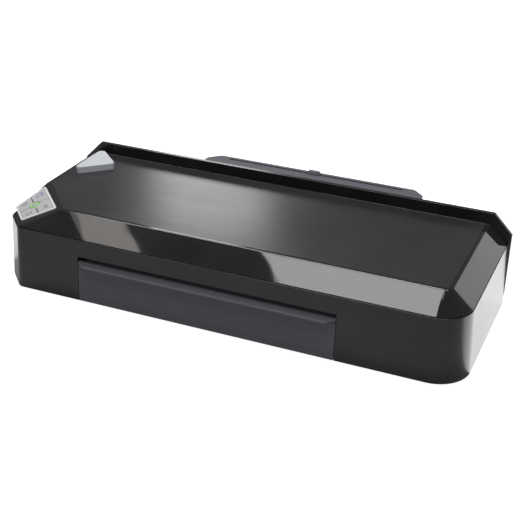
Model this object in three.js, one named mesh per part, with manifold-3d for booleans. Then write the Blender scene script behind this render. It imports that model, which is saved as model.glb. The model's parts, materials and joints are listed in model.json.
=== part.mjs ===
// Vacuum sealer with a front bag slot, a pull-out drip tray and a bag-roll bay behind.
// Millimetres, +Z up, front towards -Y. The origin is the middle of the footprint, on the table.

import * as THREE from 'three';
import { ConvexGeometry } from 'three/addons/geometries/ConvexGeometry.js';
import { mergeVertices } from 'three/addons/utils/BufferGeometryUtils.js';
import Module from 'manifold-3d';

const wasm = await Module();
wasm.setup();

// ---- Driving dimensions -------------------------------------------------------------------------

const GAP = 0.3; // clearance between pieces that touch
const WALL = 2.5; // moulded shells
const REACH = 20; // how far a cutter runs past what it cuts

// Body
const BODY_LENGTH = 528; // left wall to right wall, at the seam
const BODY_DEPTH = 195; // front wall to the front of the rear rim
const FOOT_DROP = 2; // feet below the lower edge of the housing
const SEAM_RISE = 73.5; // lower edge up to the seam between housing and bezel
const BEZEL_RISE = 20; // seam up to the flat top
const SEAM_GAP = 0.8; // open line between housing and bezel
const SEAM_STEP = 0.7; // how far the housing's edge stands out from the bezel
const SIDE_FLARE = 3.3; // how far the side walls spread towards the bottom
const FRONT_FLARE = 2.3; // the same at the front wall
const CORNER_RADIUS = 34; // front right corner
const CHAMFER_DEPTH = 25.6; // front left corner at the seam, along the left wall

// Sloping facets of the bezel: how far each runs in from the wall to the flat top
const FRONT_SLOPE = 22.5;
const RIGHT_SLOPE = 21.8;
const LEFT_SLOPE = 12.1;
const FACET_TOP_DEPTH = 82; // control facet's upper edge: distance behind the front wall
const FACET_TOP_LENGTH = 68.7; // and distance from the left wall

// Inlay in the flat top
const INLAY_MARGIN = 3;
const INLAY_THICKNESS = 1.5;
const INLAY_LEDGE = 3;

// Bag slot and drip tray
const SLOT_LENGTH = 299; // front opening
const SLOT_SHIFT = -14.8; // its middle, from the middle of the body
const SLOT_DROP = 20.3; // its upper edge below the seam
const SLOT_HEIGHT = 5.7; // from that edge down to the lip
const LIP_REACH = 10; // in front of the wall
const LIP_DROP = 1.5;
const LIP_THICKNESS = 2;
const TRAY_PANEL = 3;
const TRAY_WALL = 2;
const TRAY_DEPTH = 94; // behind the front wall
const TRAY_CLEARANCE = 5.2; // above the tray's walls

// Rear rim
const RIM_THICKNESS = 4.9;
const RIM_SIDE = 3.8; // past the side walls
const RIM_OVER = 12; // above the flat top
const RIM_SHOULDER = 10.1; // top of its upright sides, below the flat top
const RIM_INSET = 18; // from the wall in to its top corners
const RIM_BOTTOM = 8.4;

// Bag-roll bay behind the rim
const BAY_LENGTH = 287;
const BAY_REACH = 106.5; // behind the front of the rim
const BAY_TOP = 71.1;
const BAY_CHAMFER = 14.4;
const BAY_CORNER = 3;
const LID_THICKNESS = 3;
const BARREL_RADIUS = 2.8; // hinge barrel along the lid's front edge
const HINGE_PIN_RADIUS = 1.2;
const HINGE_MARGIN = 18.5; // hinge barrel, in from the bay's ends
const GROOVE_MARGIN = 27.5; // cutter groove, in from the bay's ends
const CUTTER_INSET = 7; // its groove, in from the bay's rear edge

// Control facet
const PANEL_TOP = 64; // lengths of the control panel's two parallel edges
const PANEL_BOTTOM = 38;
const PANEL_HEIGHT = 41;
const PANEL_RISE = 26.6; // its middle, up the facet from the seam
const PANEL_SHIFT = 1.2; // from the facet's middle line towards the back
const PANEL_PROUD = 0.9;
const PANEL_SUNK = 1.5;
const PANEL_BORDER = 2.4;
const KEY_THICKNESS = 1.6;
const KEY_TRAVEL = 0.4;
const KEY_GROOVE = 0.9; // dark line between keys
const RING_RADIUS = 5.6; // lit ring round the power key
const RING_WIDTH = 1.2;

// Start button: an isosceles triangle with its long side along the left edge
const BUTTON_LENGTH = 72; // between its corners, before they are rounded
const BUTTON_WIDTH = 37.5;
const BUTTON_SIDE = 24.5; // from the left wall
const BUTTON_BACK = 6.5; // its rear corner in front of the rim
const BUTTON_PROUD = 8;
const BUTTON_SKIRT = 6;
const BUTTON_TRAVEL = 3;

// Clamp that closes on the bag
const CLAMP_TRAVEL = 4.6;
const BED_DROP = 3.5; // top of the bed below the lip
const BED_THICKNESS = 14;
const SEAL_RISE = 3; // gaskets and seal bar above the bed
const PLATEN_THICKNESS = 7;
const THROAT = 5; // open gap that the bag slides into
const BED_FRONT = 8; // behind the front wall
const BED_DEPTH = 62;
const CAM_RADIUS = 8;
const SHAFT_RADIUS = 3;
const PIN_RADIUS = 3;
const GEAR_TEETH = 24;
const PINION_TEETH = 8;
const TOOTH_MODULE = 1.15; // pitch circle's diameter for each tooth

// Feet and screws
const FOOT_RADIUS = 9;
const SCREW_RADIUS = 1.5;

// ---- Places worked out from them ----------------------------------------------------------------

const leftX = -BODY_LENGTH / 2;
const rightX = BODY_LENGTH / 2;
const frontY = LIP_REACH - (LIP_REACH + BODY_DEPTH + BAY_REACH) / 2;
const rimY = frontY + BODY_DEPTH;
const bayY = rimY + RIM_THICKNESS + GAP;
const rearY = rimY + BAY_REACH;
const baseZ = FOOT_DROP;
const seamZ = baseZ + SEAM_RISE;
const topZ = seamZ + BEZEL_RISE;
const plateZ = baseZ + 1; // underside of the base plates
const floorZ = plateZ + WALL; // inside floor
const slotLeft = SLOT_SHIFT - SLOT_LENGTH / 2;
const slotRight = SLOT_SHIFT + SLOT_LENGTH / 2;
const slotZ = seamZ - SLOT_DROP;
const lipZ = slotZ - SLOT_HEIGHT;
const bedZ = lipZ - BED_DROP;

// ---- Solids -------------------------------------------------------------------------------------

function solid(geometry) {
  const bare = geometry.clone();
  bare.deleteAttribute('normal');
  bare.deleteAttribute('uv');
  const merged = mergeVertices(bare, 1e-4);
  return new wasm.Manifold(new wasm.Mesh({
    numProp: 3,
    vertProperties: new Float32Array(merged.attributes.position.array),
    triVerts: new Uint32Array(merged.index.array),
  }));
}

function geometryOf(body) {
  const mesh = body.getMesh();
  const geometry = new THREE.BufferGeometry();
  geometry.setAttribute('position', new THREE.BufferAttribute(mesh.vertProperties, 3));
  geometry.setIndex(new THREE.BufferAttribute(mesh.triVerts, 1));
  geometry.computeVertexNormals();
  return geometry;
}

const joined = (first, ...rest) => rest.reduce((body, piece) => body.add(piece), first);
const cut = (first, ...rest) => rest.reduce((body, piece) => body.subtract(piece), first);

function box(x0, x1, y0, y1, z0, z1) {
  const geometry = new THREE.BoxGeometry(x1 - x0, y1 - y0, z1 - z0);
  geometry.translate((x0 + x1) / 2, (y0 + y1) / 2, (z0 + z1) / 2);
  return solid(geometry);
}

function hull(points) {
  return solid(new ConvexGeometry(points));
}

function plateGeometry(shape, z0, z1, curveSegments = 5) {
  const geometry = new THREE.ExtrudeGeometry(shape, { depth: z1 - z0, bevelEnabled: false, curveSegments });
  geometry.translate(0, 0, z0);
  return geometry;
}

function plate(shape, z0, z1, curveSegments) {
  return solid(plateGeometry(shape, z0, z1, curveSegments));
}

// A section drawn in (y, z) and run along x.
function beam(points, x0, x1) {
  const geometry = plateGeometry(new THREE.Shape(points), x0, x1);
  const basis = new THREE.Matrix4().makeBasis(
    new THREE.Vector3(0, 1, 0),
    new THREE.Vector3(0, 0, 1),
    new THREE.Vector3(1, 0, 0),
  );
  geometry.applyMatrix4(basis);
  return solid(geometry);
}

function rodZ(radius, x, y, z0, z1, sides = 20, topRadius = radius) {
  const geometry = new THREE.CylinderGeometry(topRadius, radius, z1 - z0, sides);
  geometry.rotateX(Math.PI / 2);
  geometry.translate(x, y, (z0 + z1) / 2);
  return solid(geometry);
}

function rodX(radius, x0, x1, y, z, sides = 20) {
  const geometry = new THREE.CylinderGeometry(radius, radius, x1 - x0, sides);
  geometry.rotateZ(Math.PI / 2);
  geometry.translate((x0 + x1) / 2, y, z);
  return solid(geometry);
}

function rodY(radius, x, y0, y1, z, sides = 20) {
  const geometry = new THREE.CylinderGeometry(radius, radius, y1 - y0, sides);
  geometry.translate(x, (y0 + y1) / 2, z);
  return solid(geometry);
}

// A closed outline whose corners are rounded, each from its own distance before the corner.
function roundedShape(corners, cutbacks) {
  const shape = new THREE.Shape();
  corners.forEach((corner, i) => {
    const before = corners[(i + corners.length - 1) % corners.length];
    const after = corners[(i + 1) % corners.length];
    const cutback = Array.isArray(cutbacks) ? cutbacks[i] : cutbacks;
    const start = before.clone().sub(corner).setLength(cutback).add(corner);
    const end = after.clone().sub(corner).setLength(cutback).add(corner);
    if (i === 0) shape.moveTo(start.x, start.y);
    else shape.lineTo(start.x, start.y);
    shape.quadraticCurveTo(corner.x, corner.y, end.x, end.y);
  });
  return shape;
}

const point = (x, y) => new THREE.Vector2(x, y);
const at = (outline, z) => outline.map((p) => new THREE.Vector3(p.x, p.y, z));

// Moves every edge of an anticlockwise outline outwards by the distance for its normal.
function offsetOutline(outline, distanceFor) {
  const edges = outline.map((start, i) => {
    const end = outline[(i + 1) % outline.length];
    const along = end.clone().sub(start).normalize();
    const normal = point(along.y, -along.x);
    return { start: start.clone().addScaledVector(normal, distanceFor(normal)), along };
  });
  return edges.map((edge, i) => {
    const last = edges[(i + edges.length - 1) % edges.length];
    const between = edge.start.clone().sub(last.start);
    const reach = between.cross(edge.along) / last.along.cross(edge.along);
    return last.start.clone().addScaledVector(last.along, reach);
  });
}

// ---- Outlines of the body, seen from above, anticlockwise ---------------------------------------

// The control facet is flat: its lower front corner is where the facet's plane meets the seam.
const facetTopLeft = new THREE.Vector3(leftX + LEFT_SLOPE, frontY + FACET_TOP_DEPTH, topZ);
const facetTopFront = new THREE.Vector3(leftX + FACET_TOP_LENGTH, frontY + FRONT_SLOPE, topZ);
const facetLowLeft = new THREE.Vector3(leftX, frontY + CHAMFER_DEPTH, seamZ);
const facetAlong = facetTopFront.clone().sub(facetTopLeft).normalize();
const facetNormal = facetAlong.clone().cross(facetTopLeft.clone().sub(facetLowLeft)).normalize();
const facetLowFrontX = facetTopLeft.x
  - (facetNormal.y * (frontY - facetTopLeft.y) + facetNormal.z * (seamZ - topZ)) / facetNormal.x;
const facetUp = facetNormal.clone().cross(facetAlong);
const facetRun = BEZEL_RISE * facetNormal.z / Math.hypot(facetNormal.x, facetNormal.y);

function seamOutline() {
  const steps = 8;
  const arc = [];
  for (let i = 0; i <= steps; i += 1) {
    const angle = -Math.PI / 2 + (Math.PI / 2) * (i / steps);
    arc.push(point(
      rightX - CORNER_RADIUS + CORNER_RADIUS * Math.cos(angle),
      frontY + CORNER_RADIUS + CORNER_RADIUS * Math.sin(angle),
    ));
  }
  return [
    point(leftX, rimY - GAP),
    point(leftX, frontY + CHAMFER_DEPTH),
    point(facetLowFrontX, frontY),
    ...arc,
    point(rightX, rimY - GAP),
  ];
}

const topOutline = [
  point(leftX + LEFT_SLOPE, rimY - GAP),
  point(facetTopLeft.x, facetTopLeft.y),
  point(facetTopFront.x, facetTopFront.y),
  point(rightX - RIGHT_SLOPE, frontY + FRONT_SLOPE),
  point(rightX - RIGHT_SLOPE, rimY - GAP),
];

const isRear = (normal) => normal.y > 0.9;
const isChamfer = (normal) => normal.x < -0.3 && normal.y < -0.3;

// How far the bezel's facet runs in above a wall that faces this way.
function runAbove(normal) {
  if (isRear(normal)) return 0;
  if (isChamfer(normal)) return facetRun;
  const side = normal.x > 0 ? RIGHT_SLOPE : LEFT_SLOPE;
  return side * normal.x ** 2 + FRONT_SLOPE * normal.y ** 2;
}

const flare = (normal) => (isRear(normal) ? 0
  : SEAM_STEP + SIDE_FLARE * normal.x ** 2 + FRONT_FLARE * normal.y ** 2);
const step = (normal) => (isRear(normal) ? 0 : SEAM_STEP);

// The wall's front face leans: y of the front wall at a height.
const frontAt = (z) => frontY - SEAM_STEP - FRONT_FLARE * (seamZ - z) / SEAM_RISE;

// ---- Materials ----------------------------------------------------------------------------------

const finish = (color, roughness, metalness = 0) =>
  new THREE.MeshStandardMaterial({ color, roughness, metalness });

const finishes = {
  housing: finish(0x1d1d20, 0.42),
  glossBlack: finish(0x0d0d0f, 0.08),
  satinTop: finish(0x232326, 0.3, 0.2),
  charcoal: finish(0x37373c, 0.55),
  silver: finish(0xc9ccd2, 0.3, 0.6),
  white: finish(0xeceef0, 0.35),
  grey: finish(0xc2c3c6, 0.45),
  lens: finish(0x7fb54a, 0.3),
  rubber: finish(0x18181a, 0.85),
  silicone: finish(0x9b3b2c, 0.7),
  foam: finish(0x2a2a2c, 0.95),
  steel: finish(0x9da1a6, 0.35, 0.9),
  brass: finish(0xb58f48, 0.35, 0.9),
  tape: finish(0x8a6a45, 0.6),
  board: finish(0x1f5f38, 0.5),
  copper: finish(0x9c5a2c, 0.4, 0.8),
  ivory: finish(0xd8d4c6, 0.5),
};

function put(group, name, body, material, x = 0, y = 0, z = 0) {
  const mesh = new THREE.Mesh(geometryOf(body), material);
  mesh.name = name;
  mesh.position.set(x, y, z);
  group.add(mesh);
  return mesh;
}

// ---- Base and lower housing ---------------------------------------------------------------------

const SCREW_PLACES = [
  [leftX + 14, frontY + 58], [rightX - 14, frontY + 58],
  [leftX + 14, rimY - 16], [rightX - 14, rimY - 16],
];
const FOOT_PLACES = [
  [leftX + 42, frontY + 42], [rightX - 42, frontY + 42],
  [leftX + 42, rimY - 30], [rightX - 42, rimY - 30],
];
const BAY_FOOT_PLACES = [
  [-BAY_LENGTH / 2 + 26, rearY - 26], [BAY_LENGTH / 2 - 26, rearY - 26],
];
const POST_HALF = 5;
const POST_TOP = seamZ - 20;
const POST_HOLE_DEPTH = 9;
const FOOT_STEM_RADIUS = 2.7;

const INLET = { x: rightX - 59, z: baseZ + 34, length: 27, height: 17, flange: 3 };
const VENT = { left: leftX + 28, pitch: 11, count: 6, width: 4, bottom: baseZ + 30, height: 34 };

function ventSlots(y0, y1) {
  const slots = [];
  for (let i = 0; i < VENT.count; i += 1) {
    const x = VENT.left + i * VENT.pitch;
    slots.push(box(x, x + VENT.width, y0, y1, VENT.bottom, VENT.bottom + VENT.height));
  }
  return slots;
}

function inletHole(y0, y1) {
  const halfLength = INLET.length / 2 + GAP;
  const halfHeight = INLET.height / 2 + GAP;
  return box(INLET.x - halfLength, INLET.x + halfLength, y0, y1, INLET.z - halfHeight, INLET.z + halfHeight);
}

function lowerHousing() {
  const low = offsetOutline(seamOutline(), flare);
  const high = offsetOutline(seamOutline(), step);
  const inward = () => -WALL;
  const shell = hull([...at(low, baseZ), ...at(high, seamZ - SEAM_GAP)]);
  const hollow = hull([
    ...at(offsetOutline(low, inward), baseZ - 1),
    ...at(offsetOutline(high, inward), seamZ + 1),
  ]);
  const opening = box(slotLeft, slotRight, frontY - REACH, frontY + REACH, baseZ - 1, slotZ);
  const posts = SCREW_PLACES.map(([x, y]) => {
    const outer = Math.sign(x) * rightX;
    const inner = x - Math.sign(x) * POST_HALF;
    const [x0, x1] = [Math.min(outer, inner), Math.max(outer, inner)];
    return box(x0, x1, y - POST_HALF, y + POST_HALF, floorZ + GAP, POST_TOP);
  });
  const pilots = SCREW_PLACES.map(([x, y]) =>
    rodZ(SCREW_RADIUS + GAP, x, y, floorZ - 1, floorZ + POST_HOLE_DEPTH, 10));
  return cut(
    joined(cut(shell, hollow, opening), ...posts),
    ...pilots,
    ...ventSlots(rimY - REACH, rimY + 1),
    inletHole(rimY - REACH, rimY + 1),
  );
}

function footHoles(places) {
  return places.map(([x, y]) => rodZ(FOOT_STEM_RADIUS + GAP, x, y, plateZ - 1, floorZ + 1, 12));
}

function basePlate() {
  const lean = (normal) => flare(normal) - WALL - GAP - 0.2;
  const rear = (normal) => (isRear(normal) ? -WALL - GAP : lean(normal));
  const outline = offsetOutline(seamOutline(), rear);
  const body = plate(new THREE.Shape(outline), plateZ, floorZ);
  const notchY = frontY + TRAY_PANEL + 1.5;
  const panelNotch = box(slotLeft - 2, slotRight + 2, frontY - REACH, notchY, 0, floorZ + 1);
  const screwHoles = SCREW_PLACES.map(([x, y]) =>
    rodZ(SCREW_RADIUS + GAP, x, y, plateZ - 1, floorZ + 1, 10));
  return cut(body, panelNotch, ...screwHoles, ...footHoles(FOOT_PLACES));
}

function foot() {
  const pad = rodZ(FOOT_RADIUS, 0, 0, 0, plateZ - GAP, 24);
  const stem = rodZ(FOOT_STEM_RADIUS, 0, 0, plateZ - GAP - 0.5, floorZ + 0.4, 12);
  return joined(pad, stem);
}

function screw() {
  const head = rodZ(SCREW_RADIUS * 2, 0, 0, plateZ - 1.6 - GAP, plateZ - GAP, 16);
  const shank = rodZ(SCREW_RADIUS, 0, 0, plateZ - GAP - 0.5, floorZ + POST_HOLE_DEPTH - 1.5, 10);
  const cross = joined(box(-2, 2, -0.4, 0.4, 0, plateZ - 1.2), box(-0.4, 0.4, -2, 2, 0, plateZ - 1.2));
  return cut(joined(head, shank), cross);
}

// ---- Bezel and inlay ----------------------------------------------------------------------------

const flatInset = (inset) => offsetOutline(topOutline, () => -inset);

// Frame of the control facet: x along its upper edge, y up the slope, z out of it.
const facetFrame = new THREE.Matrix4();
{
  const midTop = facetTopLeft.clone().add(facetTopFront).multiplyScalar(0.5);
  const slantTop = BEZEL_RISE / facetUp.z;
  const middle = midTop.addScaledVector(facetUp, PANEL_RISE - slantTop);
  middle.addScaledVector(facetAlong, -PANEL_SHIFT);
  facetFrame.makeBasis(facetAlong, facetUp, facetNormal);
  facetFrame.setPosition(middle);
}

function panelShape(margin, cutback) {
  const half = PANEL_HEIGHT / 2;
  return roundedShape(offsetOutline([
    point(-PANEL_BOTTOM / 2, -half),
    point(PANEL_BOTTOM / 2, -half),
    point(PANEL_TOP / 2, half),
    point(-PANEL_TOP / 2, half),
  ], () => -margin), cutback);
}

function onFacet(shape, z0, z1) {
  const geometry = plateGeometry(shape, z0, z1);
  geometry.applyMatrix4(facetFrame);
  return solid(geometry);
}

const BUTTON_CORNERS = [
  point(0, 0),
  point(BUTTON_WIDTH, BUTTON_LENGTH / 2),
  point(0, BUTTON_LENGTH),
];
const buttonShape = (margin, cutbacks = [5, 6, 9]) =>
  roundedShape(offsetOutline(BUTTON_CORNERS, () => margin), cutbacks);
const buttonX = leftX + BUTTON_SIDE;
const buttonY = rimY - BUTTON_BACK - BUTTON_LENGTH;

const GUIDE_WALL = 2;
const guideShape = (margin) => buttonShape(GUIDE_WALL + 2 * GAP + margin, [9, 9, 15]);

function overButton(shape, z0, z1) {
  const geometry = plateGeometry(shape, z0, z1);
  geometry.translate(buttonX, buttonY, 0);
  return solid(geometry);
}

const buttonHole = (z0, z1) => overButton(buttonShape(2 * GAP), z0, z1);
const guideRoom = () => overButton(guideShape(GAP), topZ - REACH, topZ + 1);

function topBezel() {
  const foot = seamOutline();
  const thick = (normal) => {
    if (isRear(normal)) return { low: WALL, high: WALL };
    const run = runAbove(normal);
    const slant = Math.hypot(run, BEZEL_RISE);
    return { low: WALL * slant / BEZEL_RISE, high: WALL * (slant - run) / BEZEL_RISE };
  };
  const outer = hull([...at(foot, seamZ), ...at(topOutline, topZ)]);
  const hollow = hull([
    ...at(offsetOutline(foot, (normal) => -thick(normal).low), seamZ - 0.01),
    ...at(offsetOutline(topOutline, (normal) => -thick(normal).high), topZ - WALL),
  ]);
  const recess = plate(new THREE.Shape(flatInset(INLAY_MARGIN)), topZ - INLAY_THICKNESS - GAP, topZ + 1);
  const window = plate(new THREE.Shape(flatInset(INLAY_MARGIN + INLAY_LEDGE)), topZ - REACH / 2, topZ + 1);
  const pocket = onFacet(panelShape(-GAP, 3), -PANEL_SUNK, REACH);
  const keyWindow = onFacet(panelShape(PANEL_BORDER + 1.2, 2), -REACH / 2, REACH);
  return cut(outer, hollow, recess, window, guideRoom(), pocket, keyWindow);
}

function topPanel() {
  const outline = flatInset(INLAY_MARGIN + GAP);
  const inlay = plate(new THREE.Shape(outline), topZ - INLAY_THICKNESS, topZ);
  return cut(inlay, buttonHole(topZ - REACH, topZ + 1));
}

// ---- Rear rim -----------------------------------------------------------------------------------

function rearRim() {
  const half = rightX + RIM_SIDE;
  const corner = rightX - RIM_INSET;
  const bottom = baseZ + RIM_BOTTOM;
  const section = new THREE.Shape([
    point(-half, bottom), point(half, bottom), point(half, topZ - RIM_SHOULDER),
    point(corner, topZ + RIM_OVER), point(-corner, topZ + RIM_OVER), point(-half, topZ - RIM_SHOULDER),
  ]);
  const geometry = plateGeometry(section, 0, RIM_THICKNESS);
  geometry.rotateX(Math.PI / 2);
  geometry.translate(0, rimY + RIM_THICKNESS, 0);
  return cut(solid(geometry), ...ventSlots(rimY - 1, rimY + REACH), inletHole(rimY - 1, rimY + REACH));
}

// Figure-of-eight mains inlet: a flanged block with two pins in its recess.
function powerInlet() {
  const { x, z, length, height, flange } = INLET;
  const rear = rimY + RIM_THICKNESS;
  const block = box(x - length / 2, x + length / 2, rimY - 14, rear + GAP, z - height / 2, z + height / 2);
  const rim = box(x - length / 2 - flange, x + length / 2 + flange, rear + GAP, rear + GAP + 2,
    z - height / 2 - flange, z + height / 2 + flange);
  const lobe = (dx) => rodY(4.6, x + dx, rimY - 10, rear + REACH, z, 20);
  const between = box(x - 4.4, x + 4.4, rimY - 10, rear + REACH, z - 3.4, z + 3.4);
  const recess = joined(lobe(-4.4), lobe(4.4), between);
  const pin = (dx) => rodY(1.2, x + dx, rimY - 11, rear - 1, z, 10);
  return joined(cut(joined(block, rim), recess), pin(-4.3), pin(4.3));
}

// ---- Bag-roll bay -------------------------------------------------------------------------------

const lidTop = baseZ + BAY_TOP;
const lidUnder = lidTop - LID_THICKNESS;
const hingeY = bayY + 1 + BARREL_RADIUS;
const hingeZ = lidTop - BARREL_RADIUS;
const hingeHalf = BAY_LENGTH / 2 - HINGE_MARGIN;
const LUG_THICKNESS = 6;
const grooveY = rearY - CUTTER_INSET;
const GROOVE_WIDTH = 3.6;

function bayShape(front, margin) {
  const half = BAY_LENGTH / 2 - margin;
  return roundedShape([
    point(-half, front),
    point(half, front),
    point(half, rearY - margin - BAY_CHAMFER),
    point(half - BAY_CHAMFER, rearY - margin),
    point(-half + BAY_CHAMFER, rearY - margin),
    point(-half, rearY - margin - BAY_CHAMFER),
  ], [0.01, 0.01, BAY_CORNER, BAY_CORNER, BAY_CORNER, BAY_CORNER]);
}

function rollBay() {
  const rim = lidUnder - GAP;
  const tub = plate(bayShape(bayY, 0), plateZ, rim);
  const hollow = plate(bayShape(bayY + WALL, WALL), plateZ + WALL, rim + 1);
  const barrelRoom = box(-hingeHalf - LUG_THICKNESS, hingeHalf + LUG_THICKNESS, bayY - 1,
    hingeY + BARREL_RADIUS + 1, hingeZ - BARREL_RADIUS - 1, rim + 1);
  const lugs = [-1, 1].map((side) => {
    const inner = side * (hingeHalf + GAP);
    const outer = inner + side * (LUG_THICKNESS - GAP);
    const section = [
      point(bayY, hingeZ - 12), point(hingeY + BARREL_RADIUS, hingeZ - 6),
      point(hingeY + BARREL_RADIUS, hingeZ + 1.5), point(hingeY, hingeZ + BARREL_RADIUS),
      point(bayY, hingeZ + 1.5),
    ];
    return beam(section, Math.min(inner, outer), Math.max(inner, outer));
  });
  const pinHole = rodX(HINGE_PIN_RADIUS + GAP, -BAY_LENGTH, BAY_LENGTH, hingeY, hingeZ, 14);
  return cut(joined(cut(tub, hollow, barrelRoom), ...lugs), pinHole, ...footHoles(BAY_FOOT_PLACES));
}

function bayLid() {
  const front = hingeY + BARREL_RADIUS + 0.6;
  const leaf = plate(bayShape(front, 0), lidUnder, lidTop);
  const web = box(-hingeHalf, hingeHalf, hingeY, front + 1, lidUnder, lidTop);
  const barrel = rodX(BARREL_RADIUS, -hingeHalf, hingeHalf, hingeY, hingeZ, 16);
  const pinHole = rodX(HINGE_PIN_RADIUS + GAP, -BAY_LENGTH, BAY_LENGTH, hingeY, hingeZ, 14);
  const grooveHalf = BAY_LENGTH / 2 - GROOVE_MARGIN;
  const groove = box(-grooveHalf, grooveHalf, grooveY - GROOVE_WIDTH / 2, grooveY + GROOVE_WIDTH / 2,
    lidUnder - 1, lidTop + 1);
  return cut(joined(leaf, web, barrel), pinHole, groove);
}

function hingePin() {
  const half = hingeHalf + LUG_THICKNESS;
  return rodX(HINGE_PIN_RADIUS, -half, half, hingeY, hingeZ, 12);
}

// Knob above the lid, neck in its groove and shoe below it, about the groove's middle.
function cutterSlide() {
  const neck = GROOVE_WIDTH / 2 - GAP;
  const knob = hull([
    ...at([point(-8.5, -4.5), point(8.5, -4.5), point(8.5, 4.5), point(-8.5, 4.5)], lidTop + GAP),
    ...at([point(-6.5, -3), point(6.5, -3), point(6.5, 3), point(-6.5, 3)], lidTop + 4),
  ]);
  const slot = box(-4, 4, -0.6, 0.6, lidUnder - 5, lidUnder - GAP - 1.4);
  const shoe = box(-6, 6, -3.2, 3.2, lidUnder - 4, lidUnder - GAP);
  return cut(joined(knob, box(-5, 5, -neck, neck, lidUnder - 1, lidTop + 1), shoe), slot);
}

function cutterBlade() {
  const top = lidUnder - GAP - 1.4 - GAP;
  const profile = new THREE.Shape([
    point(-3.6, top), point(3.6, top), point(3.6, top - 3), point(0, top - 7), point(-3.6, top - 3),
  ]);
  const geometry = plateGeometry(profile, -0.25, 0.25);
  geometry.rotateX(Math.PI / 2);
  return solid(geometry);
}

// ---- Drip tray ----------------------------------------------------------------------------------

function dripTray() {
  const left = slotLeft + 2 * GAP;
  const right = slotRight - 2 * GAP;
  const lipTop = lipZ;
  const lipFront = lipTop - LIP_DROP;
  const lipUnder = lipFront - LIP_THICKNESS;
  const low = baseZ + GAP;
  const inner = frontY + TRAY_PANEL;
  const section = [
    point(frontAt(low), low), point(inner, low), point(inner, lipTop),
    point(frontY, lipTop), point(frontY - LIP_REACH, lipFront),
    point(frontY - LIP_REACH, lipUnder), point(frontAt(lipUnder), lipUnder),
  ];
  const wedge = (x, side) => {
    const corner = frontAt(lipUnder);
    const outline = [point(x, corner), point(x, frontY - REACH), point(x + side * REACH, frontY - REACH)];
    return hull([...at(outline, lipUnder - 1), ...at(outline, lipTop + 1)]);
  };
  const panel = cut(beam(section, left, right), wedge(left, 1), wedge(right, -1));
  const back = frontY + TRAY_DEPTH;
  const bottom = floorZ + GAP;
  const trough = box(left + 4, right - 4, inner - 1, back, bottom, bedZ - BED_THICKNESS - TRAY_CLEARANCE);
  const hollow = box(left + 4 + TRAY_WALL, right - 4 - TRAY_WALL, inner, back - TRAY_WALL,
    bottom + TRAY_WALL, bottom + REACH * 2);
  return joined(panel, cut(trough, hollow));
}

// ---- Controls, in the facet's own frame ---------------------------------------------------------

const keyTop = PANEL_PROUD;
const keyUnder = keyTop - KEY_THICKNESS;
const keyRingRadius = RING_RADIUS + KEY_GROOVE;

function controlFrame() {
  const body = plate(panelShape(0, 3), -PANEL_SUNK + GAP, PANEL_PROUD);
  return cut(body, plate(panelShape(PANEL_BORDER, 2), -REACH, REACH));
}

// The four keys are the quarters of one plate, parted by a cross and round the power key.
function quarterKey(sideX, sideY) {
  const blank = plate(panelShape(PANEL_BORDER + GAP, 2), keyUnder, keyTop);
  const far = PANEL_TOP;
  const half = KEY_GROOVE / 2;
  const quarter = box(
    sideX > 0 ? half : -far, sideX > 0 ? far : -half,
    sideY > 0 ? half : -far, sideY > 0 ? far : -half,
    -REACH, REACH,
  );
  return cut(blank.intersect(quarter), rodZ(keyRingRadius, 0, 0, -REACH, REACH, 32));
}

function powerRing() {
  const body = rodZ(RING_RADIUS, 0, 0, keyUnder, keyTop, 32);
  return cut(body, rodZ(RING_RADIUS - RING_WIDTH, 0, 0, -REACH, REACH, 32));
}

function powerKey() {
  return rodZ(RING_RADIUS - RING_WIDTH - GAP, 0, 0, keyUnder, keyTop + 0.3, 28);
}

const BOARD_DEPTH = 8; // below the facet
const BOARD_THICKNESS = 1.6;
const BOARD_LENGTH = 38;
const BOARD_WIDTH = 26;
const SWITCH_PLACES = [[0, 0], [-15, 10], [15, 10], [-12, -11], [12, -11]];

function controlBoard() {
  const boardTop = -BOARD_DEPTH + BOARD_THICKNESS;
  const switchTop = keyUnder - KEY_TRAVEL - 0.05;
  const switches = SWITCH_PLACES.map(([x, y]) => joined(
    box(x - 2.5, x + 2.5, y - 2.5, y + 2.5, boardTop - 0.5, boardTop + 2.2),
    rodZ(1.4, x, y, boardTop + 2, switchTop, 10),
  ));
  const [halfLength, halfWidth] = [BOARD_LENGTH / 2, BOARD_WIDTH / 2];
  const sheet = box(-halfLength, halfLength, -halfWidth, halfWidth, -BOARD_DEPTH, boardTop);
  return joined(sheet, ...switches);
}

// ---- Start button -------------------------------------------------------------------------------

const guideFloor = topZ - 16;

function startButton() {
  const bevel = 0.9;
  const cap = new THREE.ExtrudeGeometry(buttonShape(-bevel), {
    depth: BUTTON_PROUD + BUTTON_SKIRT - 2 * bevel,
    bevelSize: bevel,
    bevelThickness: bevel,
    bevelSegments: 1,
    curveSegments: 5,
  });
  cap.translate(0, 0, topZ - BUTTON_SKIRT + bevel);
  return solid(cap);
}

function buttonGuide() {
  const ceiling = topZ - INLAY_THICKNESS - GAP;
  return cut(
    plate(guideShape(0), guideFloor, ceiling),
    plate(buttonShape(2 * GAP), guideFloor + 2, ceiling + 1),
  );
}

const SPRING_X = BUTTON_WIDTH * 0.36;
const SPRING_Y = BUTTON_LENGTH / 2;

function buttonSwitch() {
  const bottom = guideFloor + 2 + GAP;
  const plunger = topZ - BUTTON_SKIRT - BUTTON_TRAVEL - 0.1;
  return joined(box(-2.6, 2.6, -2.6, 2.6, bottom, bottom + 2.4), rodZ(1.4, 0, 0, bottom + 2, plunger, 12));
}

class Helix extends THREE.Curve {
  constructor(radius, height, turns) {
    super();
    this.radius = radius;
    this.height = height;
    this.turns = turns;
  }

  getPoint(t, target = new THREE.Vector3()) {
    const angle = 2 * Math.PI * this.turns * t;
    return target.set(this.radius * Math.cos(angle), this.radius * Math.sin(angle), this.height * t);
  }
}

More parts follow.
